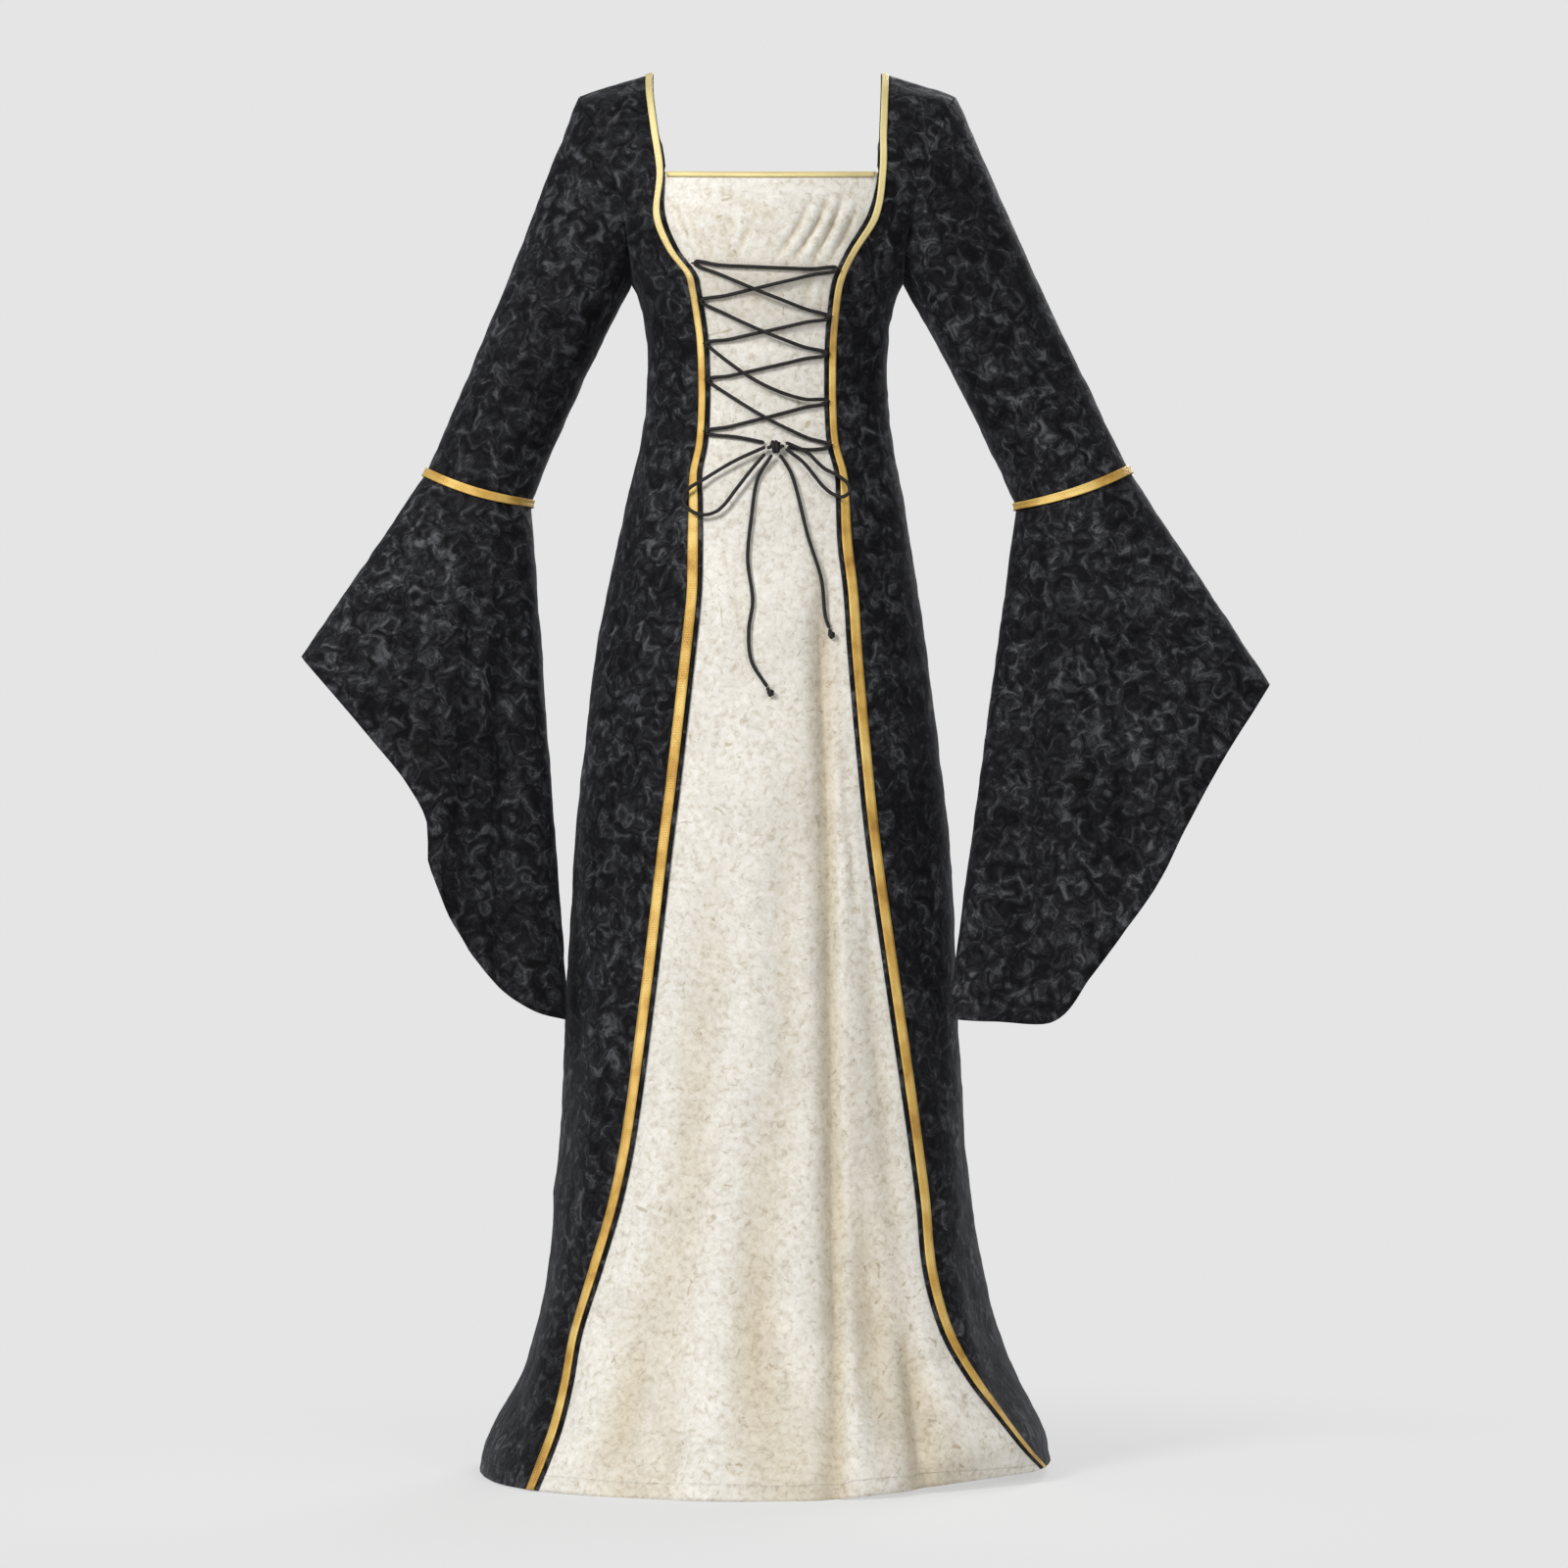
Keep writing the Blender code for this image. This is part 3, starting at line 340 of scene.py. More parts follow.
# The lace. Its lifts are heights of its middle above the cloth behind it.
LACE = 0.0036
ON_CLOTH = LACE / 2 + 0.0008
OVER_LACE = ON_CLOTH + LACE + 0.0007
LACE_FEELERS = [(0, 0), (-LACE, 0), (LACE, 0), (0, -LACE), (0, LACE)]
LACE_STEP = 0.0095
LACE_FINE_STEP = 0.0013
LACE_SIDES = 12
BRAID_STRANDS = 4
BRAID_TURN = 0.011
BRAID_RELIEF = 0.09
BRAID_LEVEL = 0.6
BRAID_END = 0.04
HELIX_STEPS = 22
SPAN_POINTS = 5
LOOP_THREAD = 0.0007
LOOP_HALF_WIDTH = 0.0036
LOOP_HEIGHT = 0.0052
LOOP_SLANT = 0.0009
LOOP_STEPS = 14
TURNS = 5
GUIDE_INSET = 0.0023
GUIDE_TURN = 0.0023
GUIDE_BEND = 0.0016
TURNS_RIGHT = [-0.1897, -0.2271, -0.2694, -0.3058, -0.3579]
TURNS_LEFT = [-0.1956, -0.2428, -0.2792, -0.3274, -0.3717]
Span = namedtuple("Span", "side turn sag over_from over_to")
SPANS = [
    Span("left", 3, 0.001, 0.0, 0.0),
    Span("right", 2, 0.014, 0.0, 1.0),
    Span("left", 1, 0.001, 0.0, 0.0),
    Span("right", 0, 0.003, 0.25, 0.75),
    Span("left", 0, 0.002, 0.0, 0.0),
    Span("right", 1, 0.001, 0.0, 0.0),
    Span("left", 2, 0.005, 0.2, 0.8),
    Span("right", 3, 0.001, 0.0, 0.0),
    Span("left", 4, 0.007, 0.2, 0.8),
]
TOP_SPAN = 4
LACING_START = [(-0.0025, -0.3690, ON_CLOTH), (-0.0300, -0.3635, ON_CLOTH)]
LACING_END = [(0.0400, -0.3760, ON_CLOTH), (0.0200, -0.3735, ON_CLOTH)]
KNOT_PLACE = (0.0085, -0.3735)
KNOT_LIFT = 0.0062
KNOT_RADII = (0.0036, 0.0050)
KNOT_PITCH = 0.0034
KNOT_TURNS = 2.2
KNOT_CORE_HALF = 0.0085
KNOT_CORE_WAVE = 0.0008
KNOT_CORE_STEPS = 10
TIP_RADII = (0.0019, 0.0019)
TIP_PITCH = 0.0022
TIP_TURNS = 1.8
TIP_STUB = 0.0045
TIP_STUB_STEPS = 8
LOOP_RIGHT = [
    (-0.0014, -0.3735, KNOT_LIFT),
    (-0.0330, -0.3880, OVER_LACE),
    (-0.0637, -0.4061, OVER_LACE),
    (-0.0794, -0.4160, OVER_LACE),
    (-0.0845, -0.4255, OVER_LACE),
    (-0.0794, -0.4356, OVER_LACE),
    (-0.0640, -0.4420, OVER_LACE),
    (-0.0479, -0.4366, OVER_LACE),
    (-0.0300, -0.4150, OVER_LACE),
    (-0.0155, -0.3963, OVER_LACE),
    (-0.0020, -0.3805, OVER_LACE),
]
LOOP_LEFT = [
    (0.0184, -0.3755, KNOT_LIFT),
    (0.0357, -0.3885, OVER_LACE),
    (0.0603, -0.4170, OVER_LACE),
    (0.0770, -0.4238, OVER_LACE),
    (0.0835, -0.4150, OVER_LACE),
    (0.0740, -0.4040, OVER_LACE),
    (0.0560, -0.3940, OVER_LACE),
    (0.0400, -0.3790, OVER_LACE),
    (0.0184, -0.3690, KNOT_LIFT),
]
TAIL_RIGHT = [
    (0.0050, -0.3812, KNOT_LIFT),
    (-0.0095, -0.4060, ON_CLOTH),
    (-0.0155, -0.4425, ON_CLOTH),
    (-0.0194, -0.4868, ON_CLOTH),
    (-0.0145, -0.5281, ON_CLOTH),
    (-0.0184, -0.5586, ON_CLOTH),
    (-0.0155, -0.5891, ON_CLOTH),
    (0.0003, -0.6150, ON_CLOTH),
]
TAIL_LEFT = [
    (0.0125, -0.3812, KNOT_LIFT),
    (0.0235, -0.3985, ON_CLOTH),
    (0.0308, -0.4218, ON_CLOTH),
    (0.0406, -0.4622, ON_CLOTH),
    (0.0544, -0.5064, ON_CLOTH),
    (0.0583, -0.5428, ON_CLOTH),
    (0.0625, -0.5560, ON_CLOTH),
]
TIP_PLACES = {"right": (0.0035, -0.6205), "left": (0.0645, -0.5622)}
LOOP_ROUTES = {"right": LOOP_RIGHT, "left": LOOP_LEFT}
TAIL_ROUTES = {"right": TAIL_RIGHT, "left": TAIL_LEFT}

# Each sheet's cut before it is sewn: width, length and area.
Cut = namedtuple("Cut", "width length area")

# The view of the photograph: 1600 pixels span 1.6 m at the gown's middle.
CAMERA_PLACE = (0.017, -6.08, -0.712)
SENSOR = 36.0
VIEW_WIDTH = 1.6
FLOOR_Z = HEM - 0.001
FLOOR_RADIUS = 1.6
BACKDROP = 0.783
AMBIENT = 0.31
Light = namedtuple("Light", "name place size watts")
LIGHTS = [
    Light("key", (-2.5, -3.0, 1.7), 1.2, 150),
    Light("fill", (2.2, -3.8, 1.0), 2.4, 52),
    Light("rear", (1.4, 3.2, 1.6), 2.0, 90),
]
LIGHT_TARGET = (0, 0, -0.6)


def mix(a, b, share):
    return a + (b - a) * share


def rise(value, start, end):
    """0 before start, 1 past end, and a smooth step between. End may lie below start."""
    share = np.clip((value - start) / (end - start), 0.0, 1.0)
    return share * share * (3 - 2 * share)


def power(value, exponent):
    return math.copysign(abs(value) ** exponent, value)


def smooth_read(keys, values, at):
    """The value at a key, on a smooth curve through all the values."""
    at = min(max(at, keys[0]), keys[-1])
    last = len(keys) - 1
    i = next((k for k in range(last) if at <= keys[k + 1]), last - 1)

    def slope(k):
        low, high = max(k - 1, 0), min(k + 1, last)
        return (values[high] - values[low]) / (keys[high] - keys[low])

    span = keys[i + 1] - keys[i]
    t = (at - keys[i]) / span
    return (
        values[i] * (2 * t**3 - 3 * t**2 + 1)
        + values[i + 1] * (3 * t**2 - 2 * t**3)
        + slope(i) * span * (t**3 - 2 * t**2 + t)
        + slope(i + 1) * span * (t**3 - t**2)
    )


def at_distances(curve, distances, count, shorter=0.0):
    """Points of a curve(0..1) at given distances from its start, then count even strips to its end."""
    fine = [curve(k / 60) for k in range(61)]
    run = [0.0]
    for a, b in zip(fine, fine[1:]):
        run.append(run[-1] + (b - a).length)
    start, end = distances[-1], run[-1] - shorter
    wanted = distances + [mix(start, end, (k + 1) / count) for k in range(count)]
    points = []
    for distance in wanted:
        k = next((n for n in range(60) if distance <= run[n + 1]), 59)
        points.append(mix(fine[k], fine[k + 1], (distance - run[k]) / (run[k + 1] - run[k])))
    return points


def side_seam(height):
    return mix(SIDE_SEAM_AT_ARMPIT, SIDE_SEAM_AT_HEM, rise(height, WAIST, HEM))


def flute(height, angle):
    """How far the overdress stands out in the soft flutes of its skirt."""
    swell = rise(height, HIP, HEM)
    seam = side_seam(height)
    if angle < seam:
        return -FRONT_FLUTE * swell * math.sin(2 * math.pi * angle / seam) ** 2
    share = (angle - seam) / (math.pi - seam)
    return -BACK_FLUTE * swell * math.sin(math.pi * share * BACK_FLUTES / 2) ** 2


def form(section, angle):
    """A point on the inner face of the overdress. Angle 0 is the centre front, pi the centre back."""
    sine, cosine = math.sin(angle), math.cos(angle)
    depth = section.front if cosine > 0 else section.back
    out = flute(section.height, angle)
    x = (section.half_width - CLOTH + out) * power(sine, 2 / SQUARENESS)
    y = -(depth - CLOTH + out) * power(cosine, 2 / SQUARENESS)
    return Vector((x, y, section.height))


def angle_at(section, x):
    return math.asin(min(x / (section.half_width - CLOTH), 1.0) ** (SQUARENESS / 2))


def armhole(turn):
    """The armhole of the wearer's left: turn 0 is the shoulder point, pi / 2 its front, pi the armpit."""
    middle = (SHOULDER_POINT + ARMPIT) / 2
    half = (SHOULDER_POINT - ARMPIT) / 2
    x = ARMHOLE_X + ARMHOLE_HALF_X * math.cos(turn) - ARMHOLE_NOTCH * math.sin(turn) ** 2 - CLOTH
    return Vector((x, -ARMHOLE_HALF_DEPTH * math.sin(turn), middle + half * math.cos(turn)))


def arc(start, end, first, last):
    """A curve between two points that bends as an ellipse does between two of its angles."""

    def point(share):
        angle = mix(first, last, share)
        across = (math.sin(angle) - math.sin(first)) / (math.sin(last) - math.sin(first))
        back = (math.cos(first) - math.cos(angle)) / (math.cos(first) - math.cos(last))
        return Vector(
            (mix(start.x, end.x, across), mix(start.y, end.y, back), mix(start.z, end.z, share))
        )

    return point


def mirrored(point, side):
    return Vector((point.x * side, point.y, point.z))


def lean(height):
    return LEAN * rise(height, *LEAN_SPAN) * (1 - LEAN_EASE * rise(height, *LEAN_EASE_SPAN))


def settled(point):
    """The point where it hangs once the gown leans and its hem rises on one side."""
    lifted = HEM_RISE * rise(point.x, 0, HEM_RISE_REACH) * rise(point.z, HEM_RISE_START, HEM)
    return Vector((point.x - lean(point.z), point.y, point.z + lifted))


def trim_width(height):
    return mix(BODICE_TRIM_WIDTH, SKIRT_TRIM_WIDTH, rise(height, WAIST, HIP))


def front_rows(side):
    """Rows of the front panel from the opening to the side seam, from the hem to the shoulder."""
    rows = []
    for section in SECTIONS:
        middle = section.trim_left if side > 0 else section.trim_right
        middle += side * lean(section.height)
        width = trim_width(section.height)
        edge = middle - width / 2 - OPENING_MARGIN
        first, last = angle_at(section, edge), side_seam(section.height)
        curve = lambda share: form(section, mix(first, last, share))
        cuts = [0.0, OPENING_MARGIN, OPENING_MARGIN + width]
        rows.append(at_distances(curve, cuts, FRONT_STRIPS, SEAM_GAP))
    for k, upper in enumerate(UPPERS):
        share = (k + 1) / UPPER_ROWS
        margin = NECK_MARGIN if k >= NECKLINE_ROW - 1 else OPENING_MARGIN
        middle = upper.trim_left if side > 0 else upper.trim_right
        start = Vector((middle - BODICE_TRIM_WIDTH / 2 - margin, -upper.depth, upper.height))
        end = armhole(math.pi * (1 - share))
        if k == len(UPPERS) - 1:
            start.y = end.y = -SEAM_GAP
        first, last = mix(*NECK_BEND, share), mix(*ARMHOLE_BEND, share)
        cuts = [0.0, margin, margin + BODICE_TRIM_WIDTH]
        rows.append(at_distances(arc(start, end, first, last), cuts, FRONT_STRIPS))
    return np.array([[settled(mirrored(p, side)) for p in row] for row in rows])


def back_half(row):
    """One back row, from the wearer's left side to the centre back."""
    if row < len(SECTIONS):
        section = SECTIONS[row]
        curve = lambda share: form(section, mix(side_seam(section.height), math.pi, share))
        return at_distances(curve, [SEAM_GAP / 2], BACK_STRIPS // 2)
    k = row - len(SECTIONS)
    upper, share = UPPERS[k], (k + 1) / UPPER_ROWS
    start = armhole(math.pi * (1 + share))
    neck = Vector((upper.back_half, upper.back_depth, upper.back_height))
    if k == len(UPPERS) - 1:
        start.y = neck.y = SEAM_GAP
    first, last = mix(*NECK_BEND, share), mix(*ARMHOLE_BEND, share)
    strap = at_distances(arc(neck, start, first, last), [0.0, BODICE_TRIM_WIDTH], STRAP_STRIPS - 1)
    strap.reverse()
    strips = BACK_STRIPS // 2 - STRAP_STRIPS
    middle = []
    for i in range(1, strips + 1):
        reach = 1 - i / strips
        depth = mix(BACK_MIDDLE, neck.y, reach**SQUARENESS)
        middle.append(Vector((neck.x * reach, depth, neck.z)))
    return strap + middle


def back_rows():
    rows = []
    for j in range(len(SECTIONS) + len(UPPERS)):
        half = back_half(j)
        rows.append([settled(p) for p in half + [mirrored(p, -1) for p in reversed(half[:-1])]])
    return np.array(rows)


def normals_of(grid, closed=False):
    """Outward normals of a grid of points."""
    if closed:
        across = np.roll(grid, -1, axis=1) - np.roll(grid, 1, axis=1)
    else:
        across = np.gradient(grid, axis=1)
    found = np.cross(across, np.gradient(grid, axis=0))
    return found / np.linalg.norm(found, axis=2, keepdims=True)


def insert_rows(right, left):
    """Rows of the insert's smooth form, from under the right front to under the left."""
    drop = CLOTH + LAYER_GAP
    under_right = right - drop * -normals_of(right)
    under_left = left - drop * normals_of(left)
    fronts = [s.front - CLOTH - drop for s in SECTIONS] + [f - CLOTH - drop for f in INSERT_FRONTS]
    rows = []
    for j, front in enumerate(fronts):
        first, last = under_right[j][0], under_left[j][0]
        line = []
        for k in range(INSERT_STRIPS + 1):
            x = mix(first[0], last[0], k / INSERT_STRIPS)
            end = last if x > 0 else first
            reach = min(abs(x / end[0]), 1.0)
            depth = mix(front, -end[1], reach**SQUARENESS)
            sag = NECKLINE_SAG * (1 - reach**2) if j >= len(SECTIONS) + 1 else 0.0
            line.append((x, -depth, mix(first[2], last[2], rise(x, 0, last[0])) - sag))
        line[0], line[-1] = first, last
        rows.append([under_right[j][2], under_right[j][1], *line, under_left[j][1], under_left[j][2]])
    rows = np.array(rows)
    middle = rows.shape[1] // 2
    share = TOP_TRIM_WIDTH / np.linalg.norm(rows[-1][middle] - rows[-2][middle])
    return np.insert(rows, -1, mix(rows[-1], rows[-2], share), axis=0)


def keys_along(grid):
    """Mean distances along the first axis of a grid."""
    return np.concatenate([[0.0], np.cumsum(np.linalg.norm(np.diff(grid, axis=0), axis=2).mean(axis=1))])


def cut_finer(grid, counts):
    """The grid with each strip along its first axis cut into a count, on smooth curves."""
    keys = keys_along(grid)
    slopes = np.empty_like(grid)
    spans = np.diff(keys)[:, None, None]
    slopes[1:-1] = (grid[2:] - grid[:-2]) / (spans[1:] + spans[:-1])
    slopes[0], slopes[-1] = (grid[1] - grid[0]) / spans[0], (grid[-1] - grid[-2]) / spans[-1]
    lines = []
    for i, count in enumerate(counts):
        t = (np.arange(count) / count)[:, None, None]
        lines.append(
            grid[i] * (2 * t**3 - 3 * t**2 + 1)
            + grid[i + 1] * (3 * t**2 - 2 * t**3)
            + slopes[i] * spans[i] * (t**3 - 2 * t**2 + t)
            + slopes[i + 1] * spans[i] * (t**3 - t**2)
        )
    return np.concatenate(lines + [grid[-1:]])


def even_counts(grid, step, least=1):
    """How many cuts each strip along the first axis takes at a step."""
    return [max(least, round(span / step)) for span in np.diff(keys_along(grid))]


def fine_panel(grid, counts_across=None):
    """The fine grid of a panel, with where each guiding row and column lies in it."""
    turned = grid.transpose(1, 0, 2)
    across = counts_across or even_counts(turned, COLUMN_STEP)
    heights = grid[1:, :, 2].mean(axis=1)
    below, above = even_counts(grid, ROW_STEP), even_counts(grid, BODICE_ROW_STEP)
    along = [b if height < WAIST else a for height, b, a in zip(heights, below, above)]
    fine = cut_finer(cut_finer(turned, across).transpose(1, 0, 2), along)
    starts = [[0, *np.cumsum(counts)] for counts in (along, across)]
    return fine, starts[0], starts[1]


def front_counts(grid):
    counts = even_counts(grid.transpose(1, 0, 2), COLUMN_STEP * FRONT_STEP_SHARE)
    return [MARGIN_CUTS, TRIM_CUTS] + counts[2:]


def fold_place(fold, height):
    upper = mix(fold.middle, fold.hip, rise(height, FOLD_MIDDLE, HIP))
    lower = mix(fold.middle, fold.hem, (height - FOLD_MIDDLE) / (HEM - FOLD_MIDDLE))
    return np.where(height > FOLD_MIDDLE, upper, lower)


def insert_relief(grid, first, last):
    """How far the insert's skirt stands back from its smooth form, in its folds and flutes."""
    x, height = grid[..., 0], grid[..., 2]
    right, left = x[:, first : first + 1], x[:, last : last + 1]
    depth = np.zeros_like(x)
    for fold in INSERT_FOLDS:
        off = x - fold_place(fold, height)
        off = np.where(off < 0, off / fold.near, off / fold.far)
        depth += fold.depth * np.exp(-off * off) * rise(height, FOLD_START, FOLD_FULL)
    share = (x - right) / (left - right)
    swell = rise(height, FLUTE_START, HEM)
    depth += INSERT_FLUTE * swell * np.sin(math.pi * share * INSERT_FLUTES) ** 2
    return depth * np.clip(np.minimum(FLUTE_FADE * share, FLUTE_FADE * (1 - share)), 0.0, 1.0)


def pressed(grid, creases, shift=0.0):
    """How far each point stands out for its creases, in metres."""
    x = grid[..., 0] - shift
    z = grid[..., 2]
    waves = np.sin(CREASE_WAVES * z + CREASE_DRIFT * x) + 0.5 * np.sin(2.7 * CREASE_WAVES * z)
    x = x + CREASE_WANDER * waves
    out = np.zeros_like(x)
    for crease in creases:
        along_x, along_z = crease.to_x - crease.x, crease.to_z - crease.z
        length = math.hypot(along_x, along_z)
        share = ((x - crease.x) * along_x + (z - crease.z) * along_z) / length**2
        off = ((x - crease.x) * along_z - (z - crease.z) * along_x) / length / crease.width
        fade = np.sin(math.pi * np.clip(share, 0.0, 1.0)) ** CREASE_FADE
        valley = np.exp(-off * off) - CREASE_LIP * np.exp(-((np.abs(off) - CREASE_LIP_PLACE) ** 2))
        out -= crease.depth * fade * valley
    return out


def crushed(grid, crush):
    """The relief of crushed pile at each point."""
    flat = grid.reshape(-1, 3)
    coarse = [noise.noise(Vector(p) * crush.per_metre) for p in flat.tolist()]
    fine = [noise.noise(Vector(p) * crush.fine_per_metre) for p in flat.tolist()]
    found = crush.height * np.array(coarse) + crush.fine_height * np.array(fine)
    return found.reshape(grid.shape[:2])


def distances_from(grid, column):
    """Each point's distance across the panel from a column."""
    steps = np.linalg.norm(np.diff(grid, axis=1), axis=2)
    run = np.concatenate([np.zeros((grid.shape[0], 1)), np.cumsum(steps, axis=1)], axis=1)
    return np.abs(run - run[:, [column]])


def seam_pull(distance):
    return -SEAM_PULL * np.exp(-((distance / SEAM_REACH) ** 2))


def black_front(grid, creases):
    """A front panel with its creases. It stays calm beside the opening and is drawn in at its seams."""
    out = pressed(grid, creases) + crushed(grid, BLACK_CRUSH)
    out *= rise(distances_from(grid, 0), *TRIM_CALM)
    out += seam_pull(distances_from(grid, -1)) + seam_pull(SHOULDER_NECK - grid[..., 2])
    return out


def with_relief(grid, out, closed=False):
    return grid + normals_of(grid, closed) * out[..., None]


def node_tree(name):
    made = bpy.data.materials.new(name)
    made.use_nodes = True
    return made, made.node_tree


def added(tree, kind, attributes=(), **inputs):
    """A new shader node. An input's value is a number, a colour or another node's output."""
    made = tree.nodes.new(kind)
    for key, value in dict(attributes).items():
        setattr(made, key, value)
    for key, value in inputs.items():
        socket = made.inputs[int(key[1:])] if key[1:].isdigit() else made.inputs[key.replace("_", " ")]
        if isinstance(value, bpy.types.NodeSocket):
            tree.links.new(value, socket)
        else:
            socket.default_value = value
    return made


def ramp(tree, factor, stops):
    made = added(tree, "ShaderNodeValToRGB", i0=factor)
    elements = made.color_ramp.elements
    while len(elements) < len(stops):
        elements.new(0.5)
    for element, (place, colour) in zip(elements, stops):
        element.position = place
        element.color = (*colour, 1.0)
    return made.outputs["Color"]


def maths(tree, operation, first, second=0.0):
    made = added(tree, "ShaderNodeMath", {"operation": operation}, i0=first, i1=second)
    return made.outputs[0]


def noise_of(tree, vector, scale, detail=3.0, distortion=0.0, roughness=0.55):
    made = added(tree, "ShaderNodeTexNoise", Vector=vector, Scale=scale, Detail=detail)
    made.inputs["Distortion"].default_value = distortion
    made.inputs["Roughness"].default_value = roughness
    return made.outputs["Fac"]


def blended(tree, first, second, factor, kind="MIX"):
    made = added(tree, "ShaderNodeMix", {"data_type": "RGBA", "blend_type": kind})
    for socket, value in ((0, factor), (6, first), (7, second)):
        if isinstance(value, bpy.types.NodeSocket):
            tree.links.new(value, made.inputs[socket])
        else:
            made.inputs[socket].default_value = value
    return made.outputs[2]


def bumped(tree, height, distance, strength, normal=None):
    made = added(tree, "ShaderNodeBump", Height=height, Distance=distance, Strength=strength)
    if normal:
        tree.links.new(normal, made.inputs["Normal"])
    return made.outputs["Normal"]


def coordinates(tree, which):
    return added(tree, "ShaderNodeTexCoord").outputs[which]


def marked(tree, name):
    return added(tree, "ShaderNodeAttribute", {"attribute_name": name}).outputs["Fac"]


def smooth_range(tree, value, start, end, low=0.0, high=1.0):
    """A smooth step of the value between start and end, from low to high."""
    made = added(tree, "ShaderNodeMapRange", {"interpolation_type": "SMOOTHSTEP"}, Value=value)
    for key, number in zip(("From Min", "From Max", "To Min", "To Max"), (start, end, low, high)):
        made.inputs[key].default_value = number
    return made.outputs[0]


def hem_groove(tree):
    """1 on the line of stitches along the hem, and 0 elsewhere."""
    off = maths(tree, "ABSOLUTE", maths(tree, "SUBTRACT", marked(tree, "hem"), HEM_STITCH))
    return smooth_range(tree, off, HEM_STITCH_WIDTH, 0.0)


def crushed_velvet(name, stops, lumps, sheen, tint, patches, crease_shade_colour, twist, specks=None):
    """Velvet whose pile lies in many directions, so that it shows light and dark flakes."""
    made, tree = node_tree(name)
    shader = tree.nodes["Principled BSDF"]
    place = coordinates(tree, "Object")
    flakes = noise_of(tree, place, lumps, detail=5.0, distortion=twist, roughness=0.62)
    grain = noise_of(tree, place, lumps * 9, detail=2.0)
    broad = noise_of(tree, place, lumps / 9, detail=2.0, distortion=0.6)
    factor = maths(tree, "ADD", flakes, maths(tree, "MULTIPLY", maths(tree, "SUBTRACT", grain, 0.5), 0.16))
    colour = ramp(tree, factor, stops)
    shade = ramp(tree, broad, [(0.34, (patches[0],) * 3), (0.66, (patches[1],) * 3)])
    colour = blended(tree, colour, shade, 1.0, "MULTIPLY")
    if specks:
        curls = noise_of(tree, place, specks[0], detail=2.5, distortion=3.4)
        where = ramp(tree, curls, [(specks[1], (0.0,) * 3), (specks[1] + 0.05, (1.0,) * 3)])
        colour = blended(tree, colour, (*specks[2], 1.0), maths(tree, "MULTIPLY", where, specks[3]))
    # Painted shade: the colour darkens towards this tint by how deep the crease is.
    shadow = blended(tree, (1.0, 1.0, 1.0, 1.0), (*crease_shade_colour, 1.0), marked(tree, "tuck"))
    colour = blended(tree, colour, shadow, 1.0, "MULTIPLY")
    tree.links.new(colour, shader.inputs["Base Color"])
    rough = added(tree, "ShaderNodeMapRange", Value=flakes)
    rough.inputs["From Min"].default_value = 0.3
    rough.inputs["From Max"].default_value = 0.7
    rough.inputs["To Min"].default_value = 0.86
    rough.inputs["To Max"].default_value = 0.58
    tree.links.new(rough.outputs[0], shader.inputs["Roughness"])
    coarse = bumped(tree, flakes, 0.0016, 0.55)
    fine = bumped(tree, grain, 0.0003, 0.35, coarse)
    stitched = bumped(tree, maths(tree, "MULTIPLY", hem_groove(tree), -1.0), 0.0012, 0.6, fine)
    tree.links.new(stitched, shader.inputs["Normal"])
    shader.inputs["Sheen Weight"].default_value = sheen
    shader.inputs["Sheen Roughness"].default_value = 0.42
    shader.inputs["Sheen Tint"].default_value = (*tint, 1.0)
    shader.inputs["Specular IOR Level"].default_value = 0.12
    return made


def woven_trim():
    """Flat braid of metallic yarn, paler at the neck than on the skirt."""
    made, tree = node_tree("gold_trim_look")
    shader = tree.nodes["Principled BSDF"]
    flat, place = coordinates(tree, "UV"), coordinates(tree, "Object")
    ribs = added(tree, "ShaderNodeTexWave", {"bands_direction": "Y"}, Vector=flat, Scale=190.0)
    ribs.inputs["Distortion"].default_value = 1.2
    yarns = added(tree, "ShaderNodeTexWave", {"bands_direction": "DIAGONAL"}, Vector=flat, Scale=260.0)
    height = maths(tree, "ADD", ribs.outputs["Fac"], yarns.outputs["Fac"])
    mottle = noise_of(tree, place, 26.0, detail=3.0)
    gold = ramp(
        tree,
        maths(tree, "ADD", mottle, maths(tree, "MULTIPLY", height, 0.10)),
        [(0.38, (0.32, 0.155, 0.025)), (0.54, (0.60, 0.345, 0.060)), (0.78, (0.84, 0.60, 0.19))],
    )
    up = added(tree, "ShaderNodeSeparateXYZ", Vector=place).outputs["Z"]
    pale = maths(tree, "MULTIPLY", smooth_range(tree, up, -0.30, -0.10), 0.75)
    colour = blended(tree, gold, (0.84, 0.75, 0.38, 1.0), pale)
    tree.links.new(colour, shader.inputs["Base Color"])
    tree.links.new(bumped(tree, height, 0.0004, 0.5), shader.inputs["Normal"])
    shader.inputs["Metallic"].default_value = 0.25
    shader.inputs["Roughness"].default_value = 0.42
    return made


def braided_lace():
    made, tree = node_tree("black_lace_look")
    shader = tree.nodes["Principled BSDF"]
    place = coordinates(tree, "Object")
    fuzz = noise_of(tree, place, 900.0, detail=3.0)
    colour = ramp(tree, fuzz, [(0.35, (0.006, 0.005, 0.005)), (0.68, (0.034, 0.030, 0.029))])
    tree.links.new(colour, shader.inputs["Base Color"])
    tree.links.new(bumped(tree, fuzz, 0.0003, 0.6), shader.inputs["Normal"])
    shader.inputs["Roughness"].default_value = 0.66
    shader.inputs["Specular IOR Level"].default_value = 0.25
    return made


